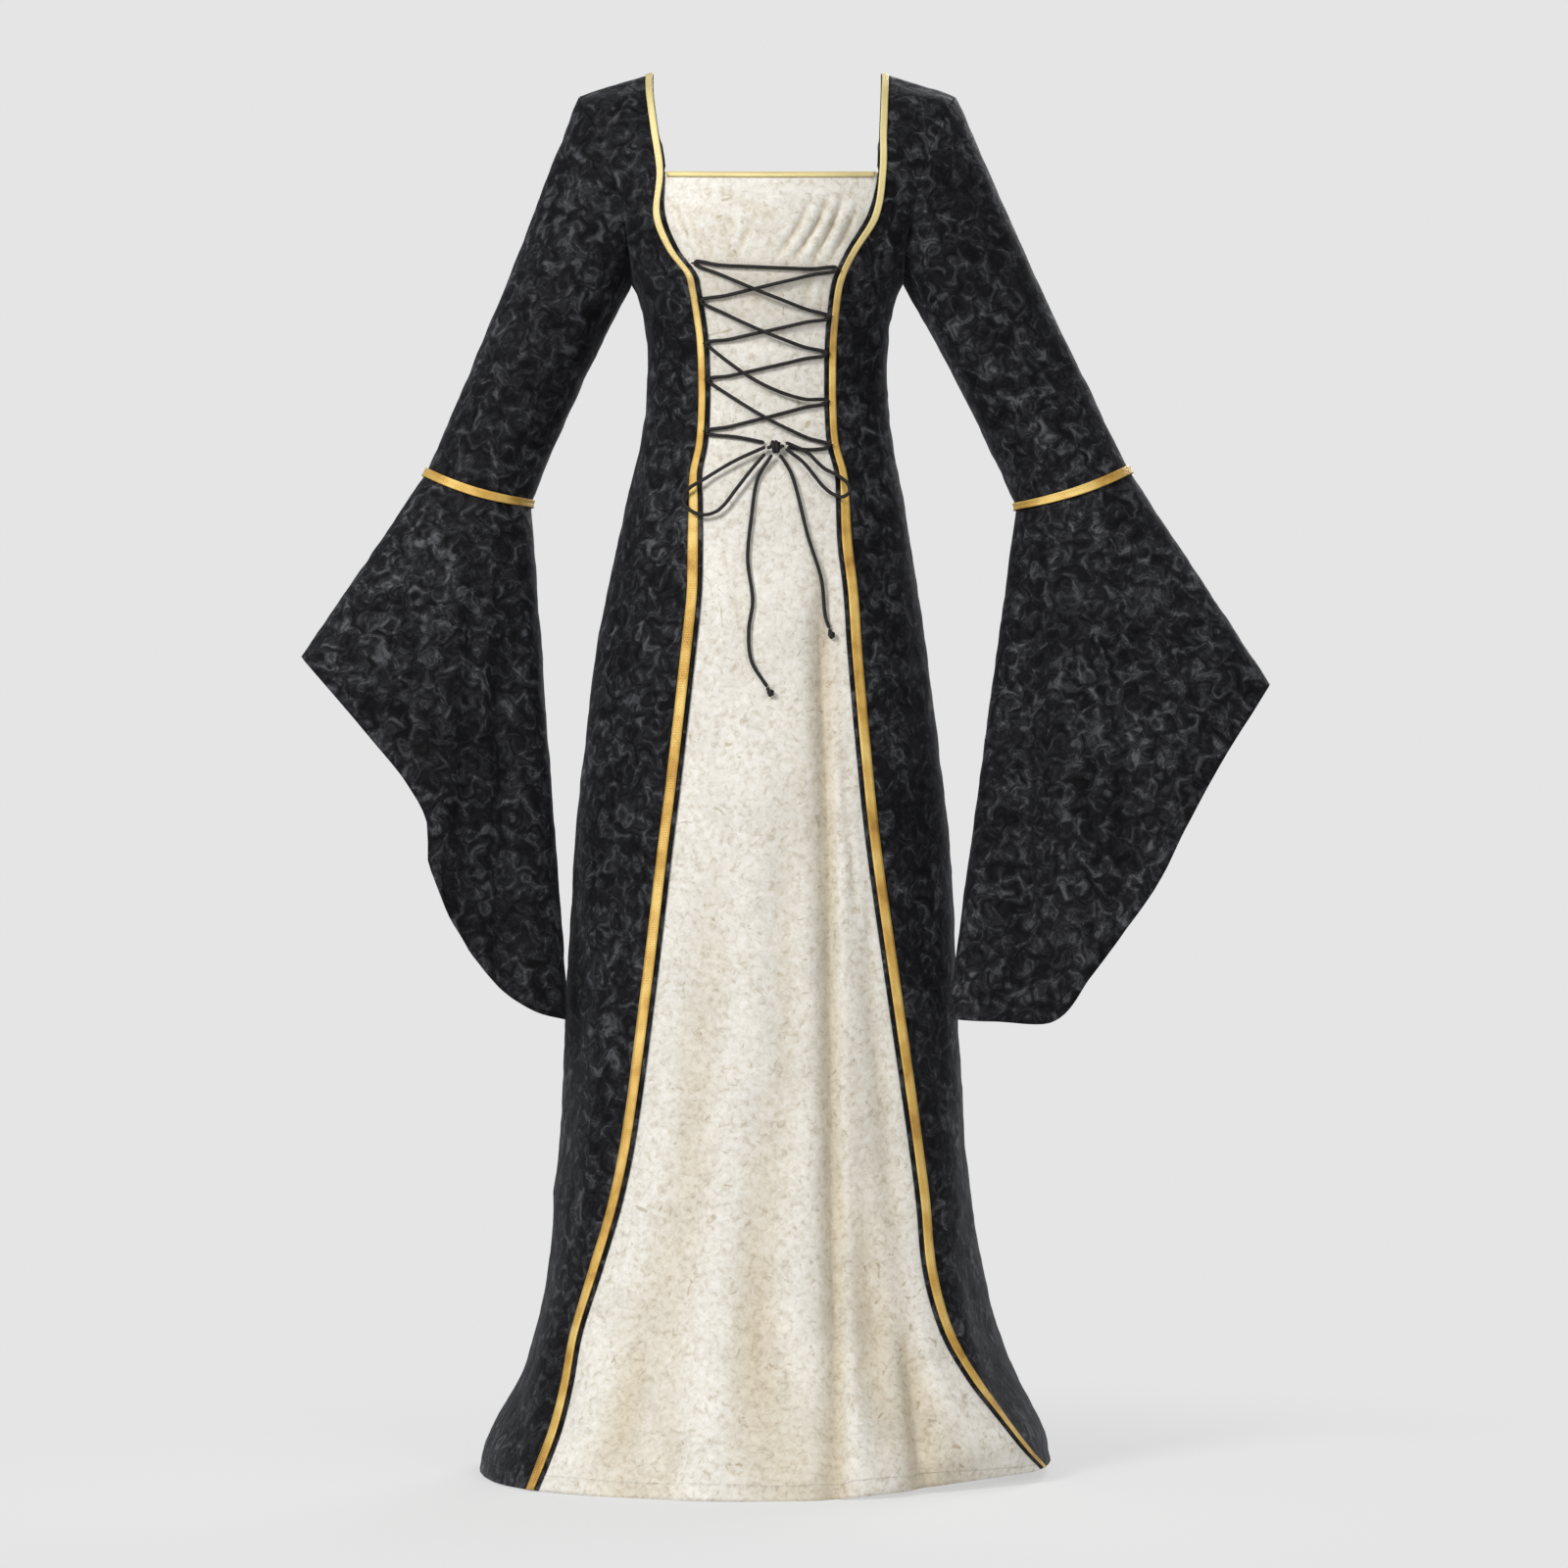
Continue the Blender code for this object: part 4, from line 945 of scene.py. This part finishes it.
def materials():
    black = crushed_velvet(
        "black_velvet_look",
        [
            (0.36, (0.0026, 0.0026, 0.0034)),
            (0.47, (0.0085, 0.0086, 0.0104)),
            (0.56, (0.0260, 0.0265, 0.0300)),
            (0.68, (0.0950, 0.0970, 0.1060)),
        ],
        lumps=66.0,
        sheen=0.14,
        tint=(0.62, 0.64, 0.70),
        patches=(0.50, 1.0),
        # painted shade colour of the deepest creases
        crease_shade_colour=(0.45, 0.45, 0.50),
        twist=1.1,
    )
    ivory = crushed_velvet(
        "ivory_velvet_look",
        [
            (0.30, (0.560, 0.500, 0.410)),
            (0.43, (0.720, 0.680, 0.600)),
            (0.54, (0.790, 0.760, 0.690)),
            (0.70, (0.860, 0.840, 0.790)),
        ],
        lumps=150.0,
        sheen=0.10,
        tint=(1.0, 0.97, 0.9),
        patches=(0.92, 1.0),
        # painted shade colour of the deepest creases
        crease_shade_colour=(0.80, 0.74, 0.64),
        twist=0.6,
        specks=(30.0, 0.665, (0.40, 0.32, 0.21), 0.60),
    )
    return {
        "black_velvet": black,
        "ivory_velvet": ivory,
        "gold_trim": woven_trim(),
        "black_lace": braided_lace(),
    }


def claimed(item, slot, *nodes):
    """The item in the scene, riding with the gown and standing for the nodes."""
    bpy.context.scene.collection.objects.link(item)
    item.data.materials.append(LOOKS[slot])
    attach(item, "root")
    if nodes:
        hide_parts(*nodes)
    return item


def surface(name, grid, closed=False, keep=None, marks=None):
    """A smooth mesh through a grid, with lengths across and along it as its map."""
    rows, across = grid.shape[:2]
    ring = np.concatenate([grid, grid[:, :1]], axis=1) if closed else grid
    u = np.concatenate(
        [np.zeros((rows, 1)), np.cumsum(np.linalg.norm(np.diff(ring, axis=1), axis=2), axis=1)], axis=1
    )
    v = np.concatenate(
        [np.zeros((1, ring.shape[1])), np.cumsum(np.linalg.norm(np.diff(ring, axis=0), axis=2), axis=0)]
    )
    j, i = np.meshgrid(np.arange(rows - 1), np.arange(ring.shape[1] - 1), indexing="ij")
    j, i = j.ravel(), i.ravel()
    if keep is not None:
        kept = keep(j, i)
        j, i = j[kept], i[kept]
    corners = [(j, i), (j, i + 1), (j + 1, i + 1), (j + 1, i)]
    faces = np.stack([row * across + column % across for row, column in corners], axis=1)
    used, places = np.unique(faces, return_inverse=True)
    mesh = bpy.data.meshes.new(name)
    mesh.from_pydata(grid.reshape(-1, 3)[used].tolist(), [], places.reshape(-1, 4).tolist())
    layer = mesh.uv_layers.new(name="lengths")
    flat = np.stack([np.stack([u[r, c], v[r, c]], axis=1) for r, c in corners], axis=1)
    layer.data.foreach_set("uv", flat.ravel())
    for key, values in (marks or {}).items():
        mark = mesh.attributes.new(key, "FLOAT", "POINT")
        mark.data.foreach_set("value", np.ascontiguousarray(values).reshape(-1)[used].astype(np.float32))
    mesh.shade_smooth()
    return mesh


def walled(name, grid, slot, nodes, thickness=CLOTH, closed=False, keep=None, marks=None):
    mesh = surface(name, grid, closed, keep, marks)
    item = claimed(bpy.data.objects.new(name, mesh), slot, *nodes)
    wall = item.modifiers.new("wall", "SOLIDIFY")
    wall.thickness = thickness
    wall.offset = 1.0
    return item


def panel(node, grid, slot, tuck, hemmed=True, closed=False, keep=None):
    """A cloth panel. Its creases carry painted shade by how deep they are, its hem a mark of the distance
    from it.
    """
    above = np.cumsum(np.linalg.norm(np.diff(grid, axis=0, prepend=grid[:1]), axis=2), axis=0)
    # Painted shade mark from the crease depth, and the distance from the hem for its stitches.
    marks = {"tuck": np.clip(tuck / CREASE_SHADE_DEPTH, 0.0, 1.0), "hem": above + (0.0 if hemmed else 1.0)}
    item = walled(f"{node}_cloth", grid, slot, [node], closed=closed, keep=keep, marks=marks)
    return item


def trim_profile(count, dome):
    """How far a trim stands out from selvedge to selvedge."""
    share = np.linspace(-1, 1, count)
    return TRIM_SELVEDGE * np.abs(share) ** SELVEDGE_POWER + dome * (1 - share**2)


def ribbon(node, grid, closed=False, keep=None, profile=True):
    """A trim on the cloth, with raised selvedges and a slightly domed middle."""
    lifted = grid
    if profile:
        rim = trim_profile(grid.shape[1], TRIM_DOME)
        lifted = grid + normals_of(grid, closed) * rim[None, :, None]
    return walled(f"{node}_ribbon", lifted, "gold_trim", [node], TRIM_THICKNESS, closed, keep)


def build_body():
    """The panels of the gown's body and the trims on them."""
    right, left, back = front_rows(-1), front_rows(1), back_rows()
    lift = CLOTH + TRIM_GAP
    for side, guide, creases in (
        ("right", right, FRONT_RIGHT_CREASES),
        ("left", left, FRONT_LEFT_CREASES),
    ):
        fine, _, columns = fine_panel(guide, front_counts(guide))
        out = black_front(fine, creases)
        sign = 1 if side == "left" else -1
        shaped = fine + sign * normals_of(fine) * out[..., None]
        strip = (shaped + sign * normals_of(shaped) * lift)[:, columns[1] : columns[2] + 1]
        if side == "right":
            shaped, strip = shaped[:, ::-1], strip[:, ::-1]
        panel(f"overdress_front_{side}", shaped, "black_velvet", -out if side == "left" else -out[:, ::-1])
        ribbon(f"trim_front_{side}", strip)
    build_back(back, lift)
    build_insert(insert_rows(right, left), lift)


def build_back(guide, lift):
    turned = guide.transpose(1, 0, 2)
    counts = even_counts(turned, COLUMN_STEP * BACK_STEP_SHARE)
    first, last = STRAP_STRIPS - 1, BACK_STRIPS - STRAP_STRIPS
    fine, rows, columns = fine_panel(guide, counts)
    neck_row = rows[len(SECTIONS) + NECKLINE_ROW - 1]
    band_row = rows[len(SECTIONS) + NECKLINE_ROW - 2]
    straps = (columns[STRAP_STRIPS], columns[BACK_STRIPS - STRAP_STRIPS])
    strips = (columns[first], columns[first + 1], columns[last], columns[last + 1])
    out = pressed(fine, BACK_CREASES) + crushed(fine, BLACK_CRUSH)
    out += seam_pull(distances_from(fine, 0)) + seam_pull(distances_from(fine, -1))
    out += seam_pull(SHOULDER_NECK - fine[..., 2])
    shaped = with_relief(fine, out)

    def on_back(j, i):
        return (j < neck_row) | (i < straps[0]) | (i >= straps[1])

    def on_neck(j, i):
        across = (j >= band_row) & (j < neck_row) & (i >= strips[0]) & (i < strips[3])
        up = (i >= strips[0]) & (i < strips[1]) | (i >= strips[2]) & (i < strips[3])
        return across | (j >= neck_row) & up

    panel("overdress_back", shaped, "black_velvet", -out, keep=on_back)
    raised = shaped + normals_of(shaped) * lift
    ribbon("trim_neck_back", raised, keep=on_neck, profile=False)


def insert_crease_shade(grid, depth):
    """Painted shade for the insert's creases, by how deep they are. The gathers under the bust take more,
    and some painted shade of its own.
    """
    under_bust = rise(grid[..., 2], *BUST_TOP) * rise(grid[..., 2], *BUST_BOTTOM)
    return depth * (1 + BUST_SHADE * under_bust) + BUST_PAINTED_SHADE * under_bust


def build_insert(guide, lift):
    turned = guide.transpose(1, 0, 2)
    counts = even_counts(turned, COLUMN_STEP * FRONT_STEP_SHARE)
    fine, rows, columns = fine_panel(guide, counts)
    first, last = columns[2], columns[-3]
    out = pressed(fine, INSERT_CREASES) + crushed(fine, IVORY_CRUSH)
    beside = np.minimum(distances_from(fine, first), distances_from(fine, last))
    inside = np.zeros(fine.shape[1])
    inside[first : last + 1] = 1.0
    out *= rise(beside, 0.0, EDGE_CALM) * inside
    out *= rise(fine[-1:, :, 2] - fine[..., 2], *TOP_CALM)
    out -= insert_relief(fine, first, last)
    shaped = with_relief(fine, out)
    panel("insert", shaped, "ivory_velvet", insert_crease_shade(fine, -out))
    raised = (shaped + normals_of(shaped) * lift)[rows[-2] :, first : last + 1]
    cut = NECK_MARGIN + CLOTH
    run = distances_from(raised, 0).mean(axis=0)
    kept = (run > cut) & (run < run[-1] - cut)
    ribbon("trim_insert_top", raised[:, kept].transpose(1, 0, 2)[::-1])


def oval(out, under, half_depth, turn, squareness):
    """A point of the closed ring between an outer and an under point, turning through its front."""
    middle = (out + under) / 2
    along = (out - under) / 2 * power(math.cos(turn), 2 / squareness)
    return middle + along + Vector((0, -half_depth * power(math.sin(turn), 2 / squareness), 0))


def elbow_ring(sleeve, turn):
    point = oval(sleeve.elbow_out, sleeve.elbow_in, ELBOW_HALF_DEPTH, turn, 2)
    point.z -= ELBOW_SAG * math.sin(turn) ** 2
    return point


def sleeve_turns(sides, side):
    return [-side * 2 * math.pi * k / sides for k in range(sides)]


def side_of(name):
    return 1 if name == "left" else -1


def upper_point(name, turn, share):
    """A point of the upper sleeve: share 0 is the elbow seam and 1 the armhole."""
    sleeve, side = SLEEVES[name], side_of(name)
    high = mirrored(armhole(turn), side)
    high.x += side * SEAM_GAP
    middle = mix(
        (sleeve.elbow_out + sleeve.elbow_in) / 2,
        mirrored((armhole(0) + armhole(math.pi)) / 2, side),
        share,
    )
    slim = 1 - SLEEVE_WAIST * math.sin(math.pi * share)
    return middle + (mix(elbow_ring(sleeve, turn), high, share) - middle) * slim


SWING_SHARES = [row.share for row in HEM_SWINGS]


def bell_point(name, turn, length):
    """A point of the bell: length 0 is the elbow seam and 1 the hem."""
    sleeve = SLEEVES[name]
    out = mix(sleeve.elbow_out, sleeve.hem_out, length)
    under = mix(sleeve.elbow_in, sleeve.hem_in, length)
    squareness = mix(2.0, BELL_SQUARENESS, length)
    half_depth = mix(ELBOW_HALF_DEPTH, BELL_HALF_DEPTH, length)
    point = oval(out, under, half_depth, turn, squareness)
    point.z -= ELBOW_SAG * math.sin(turn) ** 2 * (1 - length)
    share = (1 - power(math.cos(turn), 2 / squareness)) / 2
    line = under - out
    outward = Vector((-line.z, 0, line.x)).normalized() * side_of(name)
    swing = smooth_read(SWING_SHARES, [getattr(row, name) for row in HEM_SWINGS], share)
    point += outward * swing * length**BELL_SWING_EASE
    layer = power(math.sin(turn), BELL_LAYER_EASE)
    phase = 2 * math.pi * (abs(point.x) - abs(sleeve.hem_in.x)) / BELL_FOLD_PITCH
    wave = math.cos(phase + (BELL_FRONT_PHASE if layer > 0 else BELL_BACK_PHASE))
    strength = min(1.0, BELL_FOLD_GAIN * max(0.0, share - BELL_FOLD_START) * length)
    point.y -= BELL_FOLD * wave * strength * layer
    return point


def sleeve_relief(grid, name, middle_y):
    """The creases of a sleeve, on its front and a little shifted on its back, and the pile's relief."""
    creases = SLEEVE_FRONT_CREASES[name]
    ahead = rise(middle_y - grid[..., 1], -0.012, 0.012)
    front = pressed(grid, creases) * ahead
    behind = pressed(grid, creases, SLEEVE_BACK_SHIFT * side_of(name)) * (1 - ahead)
    return front + behind + crushed(grid, BLACK_CRUSH)


def build_sleeve(name):
    side = side_of(name)
    turns = sleeve_turns(UPPER_SIDES, side)
    shares = [j / UPPER_RINGS for j in range(UPPER_RINGS + 1)]
    grid = np.array([[upper_point(name, turn, share) for turn in turns] for share in shares])
    ends = np.array(shares)[:, None]
    calm = rise(ends, 0.0, 0.06) * rise(ends, 1.0, 0.94)
    out = sleeve_relief(grid, name, grid[..., 1].mean(axis=1, keepdims=True)) * calm
    out = out - SEAM_PULL * rise(ends, 0.97, 1.0)
    shaped = with_relief(grid, out, closed=True)
    panel(f"sleeve_upper_{name}", shaped, "black_velvet", -out, hemmed=False, closed=True)

    turns = sleeve_turns(BELL_SIDES, side)
    lengths = [(j / BELL_RINGS) ** BELL_RING_EASE for j in range(BELL_RINGS, -1, -1)]
    grid = np.array([[bell_point(name, turn, length) for turn in turns] for length in lengths])
    calm = rise(np.array(lengths)[:, None], 0.0, 0.08)
    out = sleeve_relief(grid, name, grid[..., 1].mean(axis=1, keepdims=True)) * calm
    panel(f"sleeve_bell_{name}", with_relief(grid, out, closed=True), "black_velvet", -out, closed=True)
    build_band(name)


def build_band(name):
    half = ELBOW_TRIM_WIDTH / 2
    rings = []
    for k in range(-BAND_CUTS, BAND_CUTS + 1):
        ring = []
        for turn in sleeve_turns(BAND_SIDES, side_of(name)):
            seam = upper_point(name, turn, 0)
            towards = bell_point(name, turn, 0.05) if k < 0 else upper_point(name, turn, 0.1)
            ring.append(seam + (towards - seam).normalized() * (half * abs(k) / BAND_CUTS))
        rings.append(ring)
    grid = np.array(rings)
    rim = CLOTH + TRIM_GAP + BAND_EASE + trim_profile(len(rings), BAND_DOME)
    raised = grid + normals_of(grid, True) * rim[:, None, None]
    ribbon(f"trim_elbow_{name}", raised, closed=True, profile=False)


def surface_ahead(items):
    """The depth of whatever cloth or trim stands foremost at a place, as y."""
    graph = bpy.context.evaluated_depsgraph_get()
    trees = [BVHTree.FromObject(item, graph) for item in items]

    def depth(x, z):
        start, ahead = Vector((x, -1.0, z)), Vector((0, 1, 0))
        hits = [tree.ray_cast(start, ahead)[0] for tree in trees]
        return min(hit.y for hit in hits if hit)

    return depth


def eased(points, depth):
    """Points of a lace route, x, z and lift, brought to their places ahead of the cloth."""
    placed = []
    for x, z, lift in points:
        nearest = min(depth(x + dx, z + dz) for dx, dz in LACE_FEELERS)
        placed.append(Vector((x, nearest - lift, z)))
    return placed


def spaced(points, step):
    """Points at even steps along a smooth curve through the given ones."""
    keys = [0.0]
    for a, b in zip(points, points[1:]):
        keys.append(keys[-1] + (Vector(b) - Vector(a)).length)
    count = max(2, round(keys[-1] / step))
    return [
        tuple(smooth_read(keys, [p[axis] for p in points], keys[-1] * k / count) for axis in range(3))
        for k in range(count + 1)
    ]


def turn_place(name, number):
    heights = TURNS_LEFT if name == "left" else TURNS_RIGHT
    z = heights[number]
    trims = [s.trim_left if name == "left" else s.trim_right for s in SECTIONS]
    middle = smooth_read([s.height for s in SECTIONS], trims, z)
    return (middle - BODICE_TRIM_WIDTH / 2 - GUIDE_INSET) * side_of(name), z


def turned(place, name, upwards):
    """Three points that take the lace round a turn."""
    inwards = -side_of(name) * GUIDE_BEND
    low = (place[0] + inwards, place[1] - GUIDE_TURN, ON_CLOTH)
    high = (place[0] + inwards, place[1] + GUIDE_TURN, ON_CLOTH)
    middle = (place[0], place[1], ON_CLOTH)
    return [low, middle, high] if upwards else [high, middle, low]


def lacing_route():
    """The lace between the knot and itself, through every turn: x, z and lift."""
    before = turn_place("right", TURNS - 1)
    route = LACING_START + turned(before, "right", upwards=True)
    for number, span in enumerate(SPANS):
        place = turn_place(span.side, span.turn)
        for k in range(1, SPAN_POINTS + 1):
            share = k / (SPAN_POINTS + 1)
            over = span.over_from <= share <= span.over_to and span.over_to > 0
            x, z = mix(before[0], place[0], share), mix(before[1], place[1], share)
            sag = 4 * span.sag * share * (1 - share)
            route.append((x, z - sag, OVER_LACE if over else ON_CLOTH))
        route += turned(place, span.side, upwards=number < TOP_SPAN)
        before = place
    return route + LACING_END


def braid(points, radius):
    """Rings of a braided tube with rounded ends, along points a small step apart."""
    line = np.array([tuple(p) for p in points])
    along = np.gradient(line, axis=0)
    along /= np.linalg.norm(along, axis=1, keepdims=True)
    side = np.cross(along, (0.0, 1.0, 0.0))
    side /= np.linalg.norm(side, axis=1, keepdims=True)
    up = np.cross(side, along)
    run = np.concatenate([[0.0], np.cumsum(np.linalg.norm(np.diff(line, axis=0), axis=1))])
    angles = 2 * math.pi * np.arange(LACE_SIDES) / LACE_SIDES
    phase = math.pi * BRAID_STRANDS * run[:, None] / BRAID_TURN
    over = np.maximum(np.sin(BRAID_STRANDS * angles + phase), np.sin(BRAID_STRANDS * angles - phase))
    size = radius * (1 + BRAID_RELIEF * (over - BRAID_LEVEL))
    from_end = np.clip(np.minimum(run, run[-1] - run) / radius, 0.0, 1.0)
    size *= np.sqrt(np.maximum(1 - (1 - from_end) ** 2, BRAID_END))[:, None]
    round_it = np.cos(angles)[None, :, None] * side[:, None] + np.sin(angles)[None, :, None] * up[:, None]
    return line[:, None] + size[..., None] * round_it


def lace_piece(name, lines, nodes, radius=LACE / 2):
    """One piece of lace from one or more lines of points."""
    corners, faces = [], []
    for points in lines:
        grid, start = braid(points, radius), len(corners)
        last = start + (len(grid) - 1) * LACE_SIDES
        corners += grid.reshape(-1, 3).tolist()
        for low in range(start, last, LACE_SIDES):
            for i in range(LACE_SIDES):
                k = (i + 1) % LACE_SIDES
                faces.append((low + i, low + LACE_SIDES + i, low + LACE_SIDES + k, low + k))
        faces.append([start + i for i in range(LACE_SIDES)])
        faces.append([last + i for i in reversed(range(LACE_SIDES))])
    mesh = bpy.data.meshes.new(name)
    mesh.from_pydata(corners, [], faces)
    mesh.shade_smooth()
    return claimed(bpy.data.objects.new(name, mesh), "black_lace", *nodes)


def helix(centre, axis, radii, pitch, turns):
    """Points of a coil about the x or z axis through the centre."""
    steps = int(turns * HELIX_STEPS)
    points = []
    for k in range(steps + 1):
        share = k / steps
        angle = 2 * math.pi * turns * share
        run = (share - 0.5) * pitch * turns
        first, second = radii[0] * math.cos(angle), radii[1] * math.sin(angle)
        offset = (run, first, second) if axis == "x" else (second, first, run)
        points.append(Vector(centre) + Vector(offset))
    return points


def thread_loop(name, number, depth):
    """A small loop of thread that holds the lace to the edge of the opening."""
    x, z = turn_place(name, number)
    points = []
    for k in range(LOOP_STEPS + 1):
        angle = math.pi * k / LOOP_STEPS
        across = x + LOOP_HALF_WIDTH * math.cos(angle) * side_of(name)
        rise_out = LOOP_HEIGHT * math.sin(angle)
        points.append(Vector((across, depth(across, z) - rise_out, z + LOOP_SLANT * math.cos(angle))))
    return points


def build_lace():
    names = ("overdress_front_right_cloth", "overdress_front_left_cloth", "insert_cloth")
    names += ("trim_front_right_ribbon", "trim_front_left_ribbon")
    depth = surface_ahead([bpy.data.objects[name] for name in names])
    lacing = spaced(eased(lacing_route(), depth), LACE_FINE_STEP)
    lace_piece("lacing_cord", [lacing], ["lacing"])
    threads = [thread_loop(name, n, depth) for name in SLEEVES for n in range(TURNS)]
    lace_piece("lace_loops", threads, [], LOOP_THREAD)

    x, z = KNOT_PLACE
    centre = eased([(x, z, KNOT_LIFT)], depth)[0]
    wraps = helix(centre, "x", KNOT_RADII, KNOT_PITCH, KNOT_TURNS)
    core = []
    for s in range(-KNOT_CORE_STEPS, KNOT_CORE_STEPS + 1):
        across = KNOT_CORE_HALF * s / KNOT_CORE_STEPS
        core.append(centre + Vector((across, 0.0, KNOT_CORE_WAVE * math.sin(s))))
    lace_piece("bow_knot_cord", [wraps, core], ["bow_knot"])
    for name in ("right", "left"):
        loop = spaced(eased(spaced(LOOP_ROUTES[name], LACE_STEP), depth), LACE_FINE_STEP)
        piece = lace_piece(f"bow_loop_{name}_cord", [loop], [f"bow_loop_{name}"])
        tail = spaced(eased(spaced(TAIL_ROUTES[name], LACE_STEP), depth), LACE_FINE_STEP)
        piece = lace_piece(f"lace_tail_{name}_cord", [tail], [f"lace_tail_{name}"])
        x, z = TIP_PLACES[name]
        tip = eased([(x, z, LACE)], depth)[0]
        ball = helix(tip, "z", TIP_RADII, TIP_PITCH, TIP_TURNS)
        end, low = Vector(tail[-1]), tip - Vector((0, 0, TIP_STUB))
        stub = [mix(end, low, k / TIP_STUB_STEPS) for k in range(TIP_STUB_STEPS + 1)]
        knot = lace_piece(f"lace_tip_{name}_cord", [ball, stub], [f"lace_tip_{name}"])


def add_light(light):
    data = bpy.data.lights.new(light.name, "AREA")
    data.shape = "DISK"
    data.size = light.size
    data.energy = light.watts
    item = bpy.data.objects.new(light.name, data)
    item.location = light.place
    towards = Vector(LIGHT_TARGET) - Vector(light.place)
    item.rotation_euler = towards.to_track_quat("-Z", "Y").to_euler()
    bpy.context.scene.collection.objects.link(item)


def floor_look():
    """A pale floor that melts into the backdrop and takes a faint shadow under the gown."""
    made, tree = node_tree("pale_floor")
    tree.nodes.remove(tree.nodes["Principled BSDF"])
    place = coordinates(tree, "Object")
    away = added(tree, "ShaderNodeVectorMath", {"operation": "LENGTH"}, i0=place).outputs["Value"]
    fade = smooth_range(tree, away, 0.35, 1.1, 0.30, 0.0)
    glow = added(tree, "ShaderNodeEmission", Color=(BACKDROP, BACKDROP, BACKDROP, 1.0))
    matt = added(tree, "ShaderNodeBsdfDiffuse", Color=(0.80, 0.80, 0.80, 1.0))
    both = added(
        tree, "ShaderNodeMixShader", i0=fade, i1=glow.outputs[0], i2=matt.outputs[0]
    )
    tree.links.new(both.outputs[0], tree.nodes["Material Output"].inputs["Surface"])
    return made


def build_stage():
    bpy.ops.mesh.primitive_circle_add(
        vertices=96, radius=FLOOR_RADIUS, fill_type="NGON", location=(0, 0, FLOOR_Z)
    )
    floor = bpy.context.object
    floor.name = "floor"
    floor.data.materials.append(floor_look())
    for light in LIGHTS:
        add_light(light)


def build_view():
    scene = bpy.context.scene
    camera = bpy.data.objects.new("camera", bpy.data.cameras.new("camera"))
    camera.location = CAMERA_PLACE
    camera.rotation_euler = (math.pi / 2, 0, 0)
    camera.data.sensor_width = SENSOR
    camera.data.lens = SENSOR * -CAMERA_PLACE[1] / VIEW_WIDTH
    scene.collection.objects.link(camera)
    scene.camera = camera
    scene.view_settings.view_transform = "Standard"
    world = bpy.data.worlds.new("studio")
    scene.world = world
    world.use_nodes = True
    tree = world.node_tree
    sky = tree.nodes["Background"]
    seen = added(tree, "ShaderNodeBackground", Color=(BACKDROP, BACKDROP, BACKDROP, 1.0))
    sky.inputs["Color"].default_value = (AMBIENT, AMBIENT, AMBIENT, 1.0)
    rays = added(tree, "ShaderNodeLightPath")
    both = added(
        tree,
        "ShaderNodeMixShader",
        i0=rays.outputs["Is Camera Ray"],
        i1=sky.outputs[0],
        i2=seen.outputs[0],
    )
    tree.links.new(both.outputs[0], tree.nodes["World Output"].inputs["Surface"])


LOOKS = materials()
build_view()
build_body()
for sleeve_name in SLEEVES:
    build_sleeve(sleeve_name)
build_lace()
build_stage()
